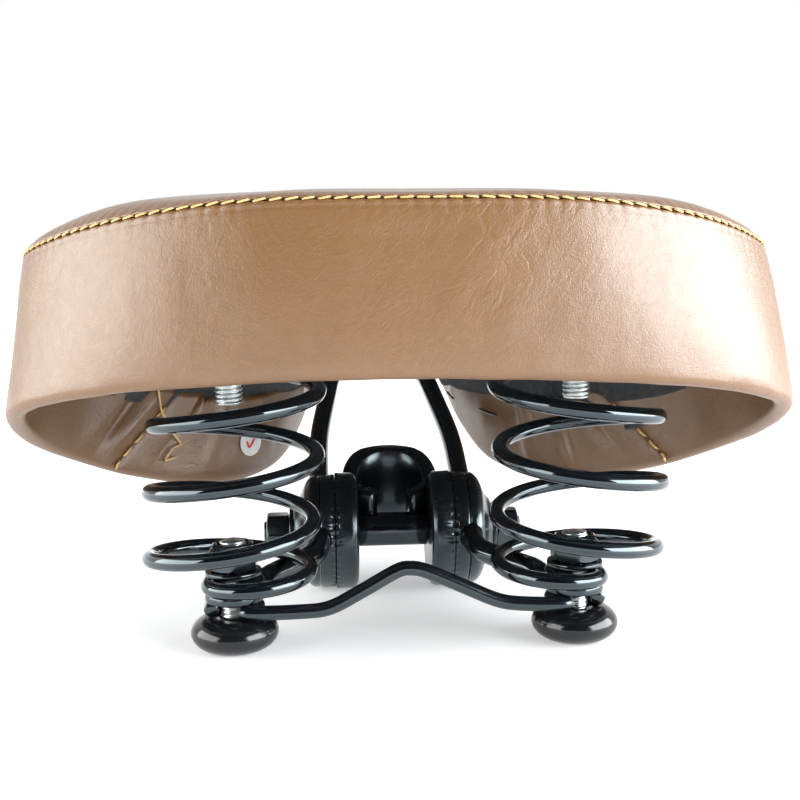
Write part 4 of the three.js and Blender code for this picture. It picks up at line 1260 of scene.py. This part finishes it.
def rail_bar(side, word):
    stud = Vector((side * STUD.x, STUD.y, RAIL_EYE_Z))
    bend = rail_point(side, -23)
    out = (bend - stud).xy.to_3d().normalized()
    begin = stud + out * 6.2
    swell = stud + out * 13 + Vector((0, 0, 1.4))
    nose = Vector((side * NOSE_RAIL.x, NOSE_RAIL.y, NOSE_RAIL.z))
    inward = Vector((side * 18.8, 60, 63))
    before_nose = Vector((nose.x, 87, nose.z))
    corners = [begin, swell, bend, rail_point(side, RAIL_STRAIGHT_END), inward, before_nose, nose]
    path = rounded_path(corners, [2.5, 7, 14, 11, 7], 1.1)

    def pressed(i):
        """The bar is pressed flat and wide where it meets the eye."""
        flat = smoothstep((path[i] - begin).length, 3, 12)
        return lerp(1.22, 1.0, flat), lerp(0.36, 1.0, flat)

    rod = tube("rod", path, RAIL_R, ENAMEL, 24, pressed)
    eye = washer("eye", 8.2, RAIL_EYE_Z - 1.25, RAIL_EYE_Z + 1.25, ENAMEL, 0.5)
    shifted(eye, (side * STUD.x, STUD.y, 0))
    settle(join(f"rail_bar_{word}", [rod, eye]), "undercarriage", "black_steel", f"rail_{word}")


def cross_wire():
    """One wire loops round both studs and lifts over the middle, bent by hand, so not evenly."""
    radius = 2.1
    loop = STUD_R + 0.6 + radius
    level = 9.7 + radius
    angles = [lerp(0.1, -1.5, i / 8) * math.pi for i in range(8)]
    left = [(-STUD.x - loop * math.cos(angle), STUD.y - loop * math.sin(angle), level) for angle in angles]
    right = [(-x, y, z) for x, y, z in reversed(left)]
    lift = [(-44, 0), (-31, 0), (-22, 0.9), (-12.6, 5.6), (-3, 10.9), (1, 11.6), (5.5, 10.6), (15.4, 6.2),
            (25.5, 1.7), (33, 0.4), (44, 0)]
    middle = [(x, STUD.y - loop, level + rise) for x, rise in lift]
    wire = tube("cross_wire_bar", spline(left + middle + right, 8), radius, ENAMEL, 18)
    settle(wire, "undercarriage", "black_steel", "cross_wire")


def block(name, low, high, material, edge=0.6):
    """A pressed or moulded block with rounded edges."""
    edit = bmesh.new()
    bmesh.ops.create_cube(edit, size=1)
    for vert in edit.verts:
        for axis in range(3):
            vert.co[axis] = lerp(low[axis], high[axis], vert.co[axis] + 0.5) * MM
    bmesh.ops.bevel(edit, geom=edit.edges[:], offset=edge * MM, segments=3, profile=0.5, affect="EDGES")
    mesh = bpy.data.meshes.new(name)
    edit.to_mesh(mesh)
    edit.free()
    mesh.materials.append(material)
    mesh.shade_smooth()
    return placed(name, mesh)


def bar_along_y(name, radius, length, edge=0.4):
    half = length / 2
    profile = [(0.01, -half), (radius - edge, -half), (radius, edge - half), (radius, half - edge),
               (radius - edge, half), (0.01, half)]
    return turned(lathe(name, profile, ENAMEL, 48), math.pi / 2)


def nose_fixing():
    """The strap under the nose. Its sleeves are bored a little open, because it rocks on the rails."""
    strap = block("nose_strap", *STRAP, ENAMEL, 0.9)
    boolean(strap, block("riser", *STRAP_RISER, ENAMEL, 0.9), "UNION")
    for side in (-1, 1):
        centre = (side * NOSE_RAIL.x, SLEEVE_Y, NOSE_RAIL.z)
        boolean(strap, shifted(bar_along_y("sleeve", 5.3, 16, 0.5), centre), "UNION")
        for rock in (0, 0.5, 1):
            bore = turned(bar_along_y("bore", RAIL_R + 0.45, 60), -rock * ROCK_ANGLE)
            boolean(strap, shifted(bore, centre))
    settle(flat_sided(strap), "seat", "black_steel", "nose_bracket")
    for word, y in NOSE_SCREWS_Y:
        head = hexagon("head", 10, 0, 62.2, 66.2, ZINC)
        shank = threaded("shank", 2.8, 65.5, 79.8, ZINC, 1.0, 0.45, 20)
        bolt = join(f"nose_screw_{word}", [head, shank])
        settle(shifted(bolt, (0, y, 0)), "seat", "zinc_steel", f"nose_bolt_{word}")


# ------------------------------------------------------------------ seat-post clamp
TEETH = 44


def toothed(name, radius, x0, x1, edge, depth=0.3):
    """A disc across X with one well-rounded edge and fine radial teeth round the other."""
    segments = TEETH * 6
    split = x1 - 1.1
    arc = [math.pi / 2 * i / 7 for i in range(8)]
    points = []
    for k, (cos, sin) in enumerate(circle(segments)):
        tooth = radius - depth * min(1.0, abs(2 * (k % 6) / 6 - 1) * 1.3)
        ring = [(BOLT_HOLE_R, x0), (radius * 0.72, x0)]
        ring += [(radius - edge + edge * math.sin(a), x0 + edge - edge * math.cos(a)) for a in arc]
        ring += [(radius, split - 0.2), (tooth, split + 0.05), (tooth, x1 - 0.15), (tooth - 0.4, x1),
                 (BOLT_HOLE_R, x1)]
        points += [(x, r * cos, r * sin) for r, x in ring]
    faces = grid_faces(segments, len(points) // segments, wrap_rows=True, wrap_columns=True)
    return flat_sided(make(name, points, faces, CAST), 40)


def collar_top(y):
    """Upper edge of the collar band seen from the side, about the clamp bolt."""
    front = POST_AHEAD + COLLAR_R + 1
    knots = [(-2, 12), (8, 12.6), (13, 13.2), (16, 14.1), (19, 15.6), (22.5, 17.3), (26, 18.9), (29, 19.8),
             (front, 20.2)]
    for (y0, z0), (y1, z1) in zip(knots, knots[1:]):
        if y <= y1:
            return lerp(z0, z1, max(0.0, (y - y0) / (y1 - y0)))
    return knots[-1][1]


def collar_band():
    """The band round the post, from one ear round to the other: a ring of points for each step."""
    half_mouth = math.acos(EAR[0] / COLLAR_R) + 0.35
    steps = 72
    edges = ((COLLAR_R, 0.6, 1.2), (COLLAR_R - 0.5, 0.0, 0.3), (POST_R + 0.5, 0.0, 0.0), (POST_R, 0.5, 0.5))
    points = []
    for i in range(steps + 1):
        angle = lerp(-half_mouth, math.pi + half_mouth, i / steps)
        bottoms, tops = [], []
        for radius, low, high in edges:
            x, y = radius * math.cos(angle), POST_AHEAD + radius * math.sin(angle)
            bottoms.append(Vector((x, y, low - COLLAR_DROP)))
            tops.append(Vector((x, y, collar_top(y) - high)))
        rise = [bottoms[0].lerp(tops[0], t) for t in (0.25, 0.5, 0.75)]
        fall = [tops[3].lerp(bottoms[3], t) for t in (0.25, 0.5, 0.75)]
        points += bottoms[::-1] + rise + tops + fall
    width = len(points) // (steps + 1)
    faces = grid_faces(steps + 1, width, wrap_columns=True) + end_faces(steps + 1, width)
    return make("band", points, faces, CAST)


def to_clamp(obj, tilt=0.0):
    return shifted(turned(obj, tilt), CLAMP)


def rail_groove(side):
    cutter = turned(plain_rod(RAIL_R + 0.3, -40, 40, CAST), RAIL_ANGLE - math.pi / 2)
    return shifted(cutter, rail_point(side, 0) - CLAMP)


# Section of an outer cheek, from its flat face against the rail to its boss under the washer: radius, x.
JAW_DOME = [(BOLT_HOLE_R, 24.5), (DISC_R - 1.1, 24.5), (DISC_R - 0.8, 24.8), (DISC_R - 0.7, 25.5),
            (DISC_R - 0.7, 26.6), (DISC_R - 1.3, 27.6), (DISC_R - 2.6, 28.8), (DISC_R - 4.4, 29.7),
            (DISC_R - 6.6, 30.5), (11.2, 31.4), (10.2, 32.3), (9.6, 32.8), (9.0, 33), (BOLT_HOLE_R, 33)]


def clamp_half(side, word):
    """The two cheeks that hold one rail, with the washer and nut that press them together."""
    near, far = INNER_JAW_X
    inner = mirror(toothed(f"inner_jaw_{word}", DISC_R - 0.5, -far, -near, 1.0))
    outer = lathe(f"outer_jaw_{word}", JAW_DOME, CAST, 96, axis="X", closed=True)
    ring = washer(f"clamp_ring_{word}", 8.2, *CLAMP_RING_X, ENAMEL, axis="X")
    nut = hexagon(f"clamp_nut_body_{word}", CLAMP_NUT_FLATS, BOLT_HOLE_R, *CLAMP_NUT_X, ENAMEL)
    turned(nut, math.pi / 2, "Y")
    if side < 0:
        for obj in (inner, outer, ring, nut):
            mirror(obj)
    for cheek in (inner, outer):
        flat_sided(boolean(cheek, rail_groove(side)), 40)
    for obj, node in ((inner, "inner_cheek"), (outer, "outer_cheek"), (ring, "clamp_washer"),
                      (flat_sided(nut), "clamp_nut")):
        settle(to_clamp(obj), "clamp", "black_steel", f"{node}_{word}")


def seat_clamp():
    rod = threaded("clamp_rod", 3.95, -CLAMP_BOLT_HALF, CLAMP_BOLT_HALF, ENAMEL, 1.25, 0.5, 24)
    settle(to_clamp(turned(rod, math.pi / 2, "Y")), "clamp", "black_steel", "clamp_bolt")
    sleeve = washer("clamp_tube", 5.6, -11.5, 11.5, ENAMEL, 0.4, axis="X")
    settle(to_clamp(sleeve), "clamp", "black_steel", "clamp_sleeve")
    for side, word in ((-1, "left"), (1, "right")):
        clamp_half(side, word)
    right = toothed("ear", DISC_R, *EAR, 2.6)
    left = mirror(placed("ear_left", right.data.copy()))
    collar = join("collar_casting", [collar_band(), right, left])
    settle(to_clamp(collar, COLLAR_TILT), "collar", "black_steel", "post_collar")


# ------------------------------------------------------------------ floor and light
def floor():
    """White paper with a painted glow that brightens with distance, so that it runs into the white behind
    without a line. The glow also lights the saddle.
    """
    m = Nodes("floor_paint")
    grain = m.noise(6, 3, 0.5)
    colour = m.ramp(grain, [(0.3, (0.78, 0.79, 0.8)), (0.7, (0.82, 0.825, 0.83))])
    # Painted light: the floor emits light according to its distance from the middle, weak under the saddle
    # and nearly white far off.
    reach = m.add("ShaderNodeVectorMath", {0: m.place}, operation="LENGTH").outputs["Value"]
    glow = m.ramp(m.range(reach, 0.08, 0.8, 0.0, 1.0), [(0.0, (0.34, 0.34, 0.34)), (1.0, (0.95, 0.95, 0.95))])
    material = m.finish(colour, m.range(grain, 0.3, 0.7, 0.5, 0.6), Emission_Strength=1.0)
    m.tree.links.new(glow, m.shader.inputs["Emission Color"])
    half = 3000
    corners = [(-half, -half, 0), (half, -half, 0), (half, half, 0), (-half, half, 0)]
    make("floor", corners, [(0, 1, 2, 3)], material)


def area_light(name, place, aim, size, power, colour):
    data = bpy.data.lights.new(name, "AREA")
    data.shape = "RECTANGLE"
    data.size, data.size_y = size
    data.energy = power
    data.color = colour
    lamp = placed(name, data)
    lamp.location = place
    look_at(lamp, aim)


def lights():
    """Two large windows in a light tent, which the camera sees as plain white."""
    bpy.context.scene.view_settings.view_transform = "Standard"
    world = bpy.data.worlds.new("studio")
    bpy.context.scene.world = world
    m = Nodes(world, "Generated")
    pale = m.tree.nodes["Background"]
    pale.inputs["Color"].default_value = (1, 1, 1, 1)
    pale.inputs["Strength"].default_value = 1.0
    # The light on the saddle is strongest from above and beyond the nose, and weakest from low at the rear.
    way = m.add("ShaderNodeSeparateXYZ", {0: m.place}).outputs
    height = m.add("ShaderNodeMath", {0: way["Z"], 1: 0.5, 2: way["Y"]}, operation="MULTIPLY_ADD").outputs[0]
    strength = m.range(height, -0.3, 0.9, 0.02, 1.4)
    tent = m.add("ShaderNodeBackground", {"Color": (0.93, 0.97, 1.0, 1), "Strength": strength})
    seen = m.add("ShaderNodeLightPath").outputs["Is Camera Ray"]
    choose = m.add("ShaderNodeMixShader", {"Fac": seen, 1: tent.outputs[0], 2: pale.outputs[0]})
    m.tree.links.new(choose.outputs[0], m.tree.nodes["World Output"].inputs["Surface"])
    aim = (0, -0.06, 0.08)
    area_light("left_window", (-1.25, -0.36, 0.34), aim, (1.7, 0.9), 31, (1.0, 0.99, 0.96))
    area_light("right_window", (1.2, -0.5, 0.34), aim, (1.8, 0.9), 62, (0.97, 0.98, 1.0))


# ------------------------------------------------------------------ assembly
top_panel()
side_bands()
seam_thread()
side_seam_thread()
loose_thread()
staples()
inspection_sticker()
felt_tab()
foam_cushion()
base_and_lining()
for side, word in ((-1, "left"), (1, "right")):
    coil_spring(side, word)
    spring_ends(side, word)
    rail_bar(side, word)
cross_wire()
nose_fixing()
seat_clamp()
floor()
lights()
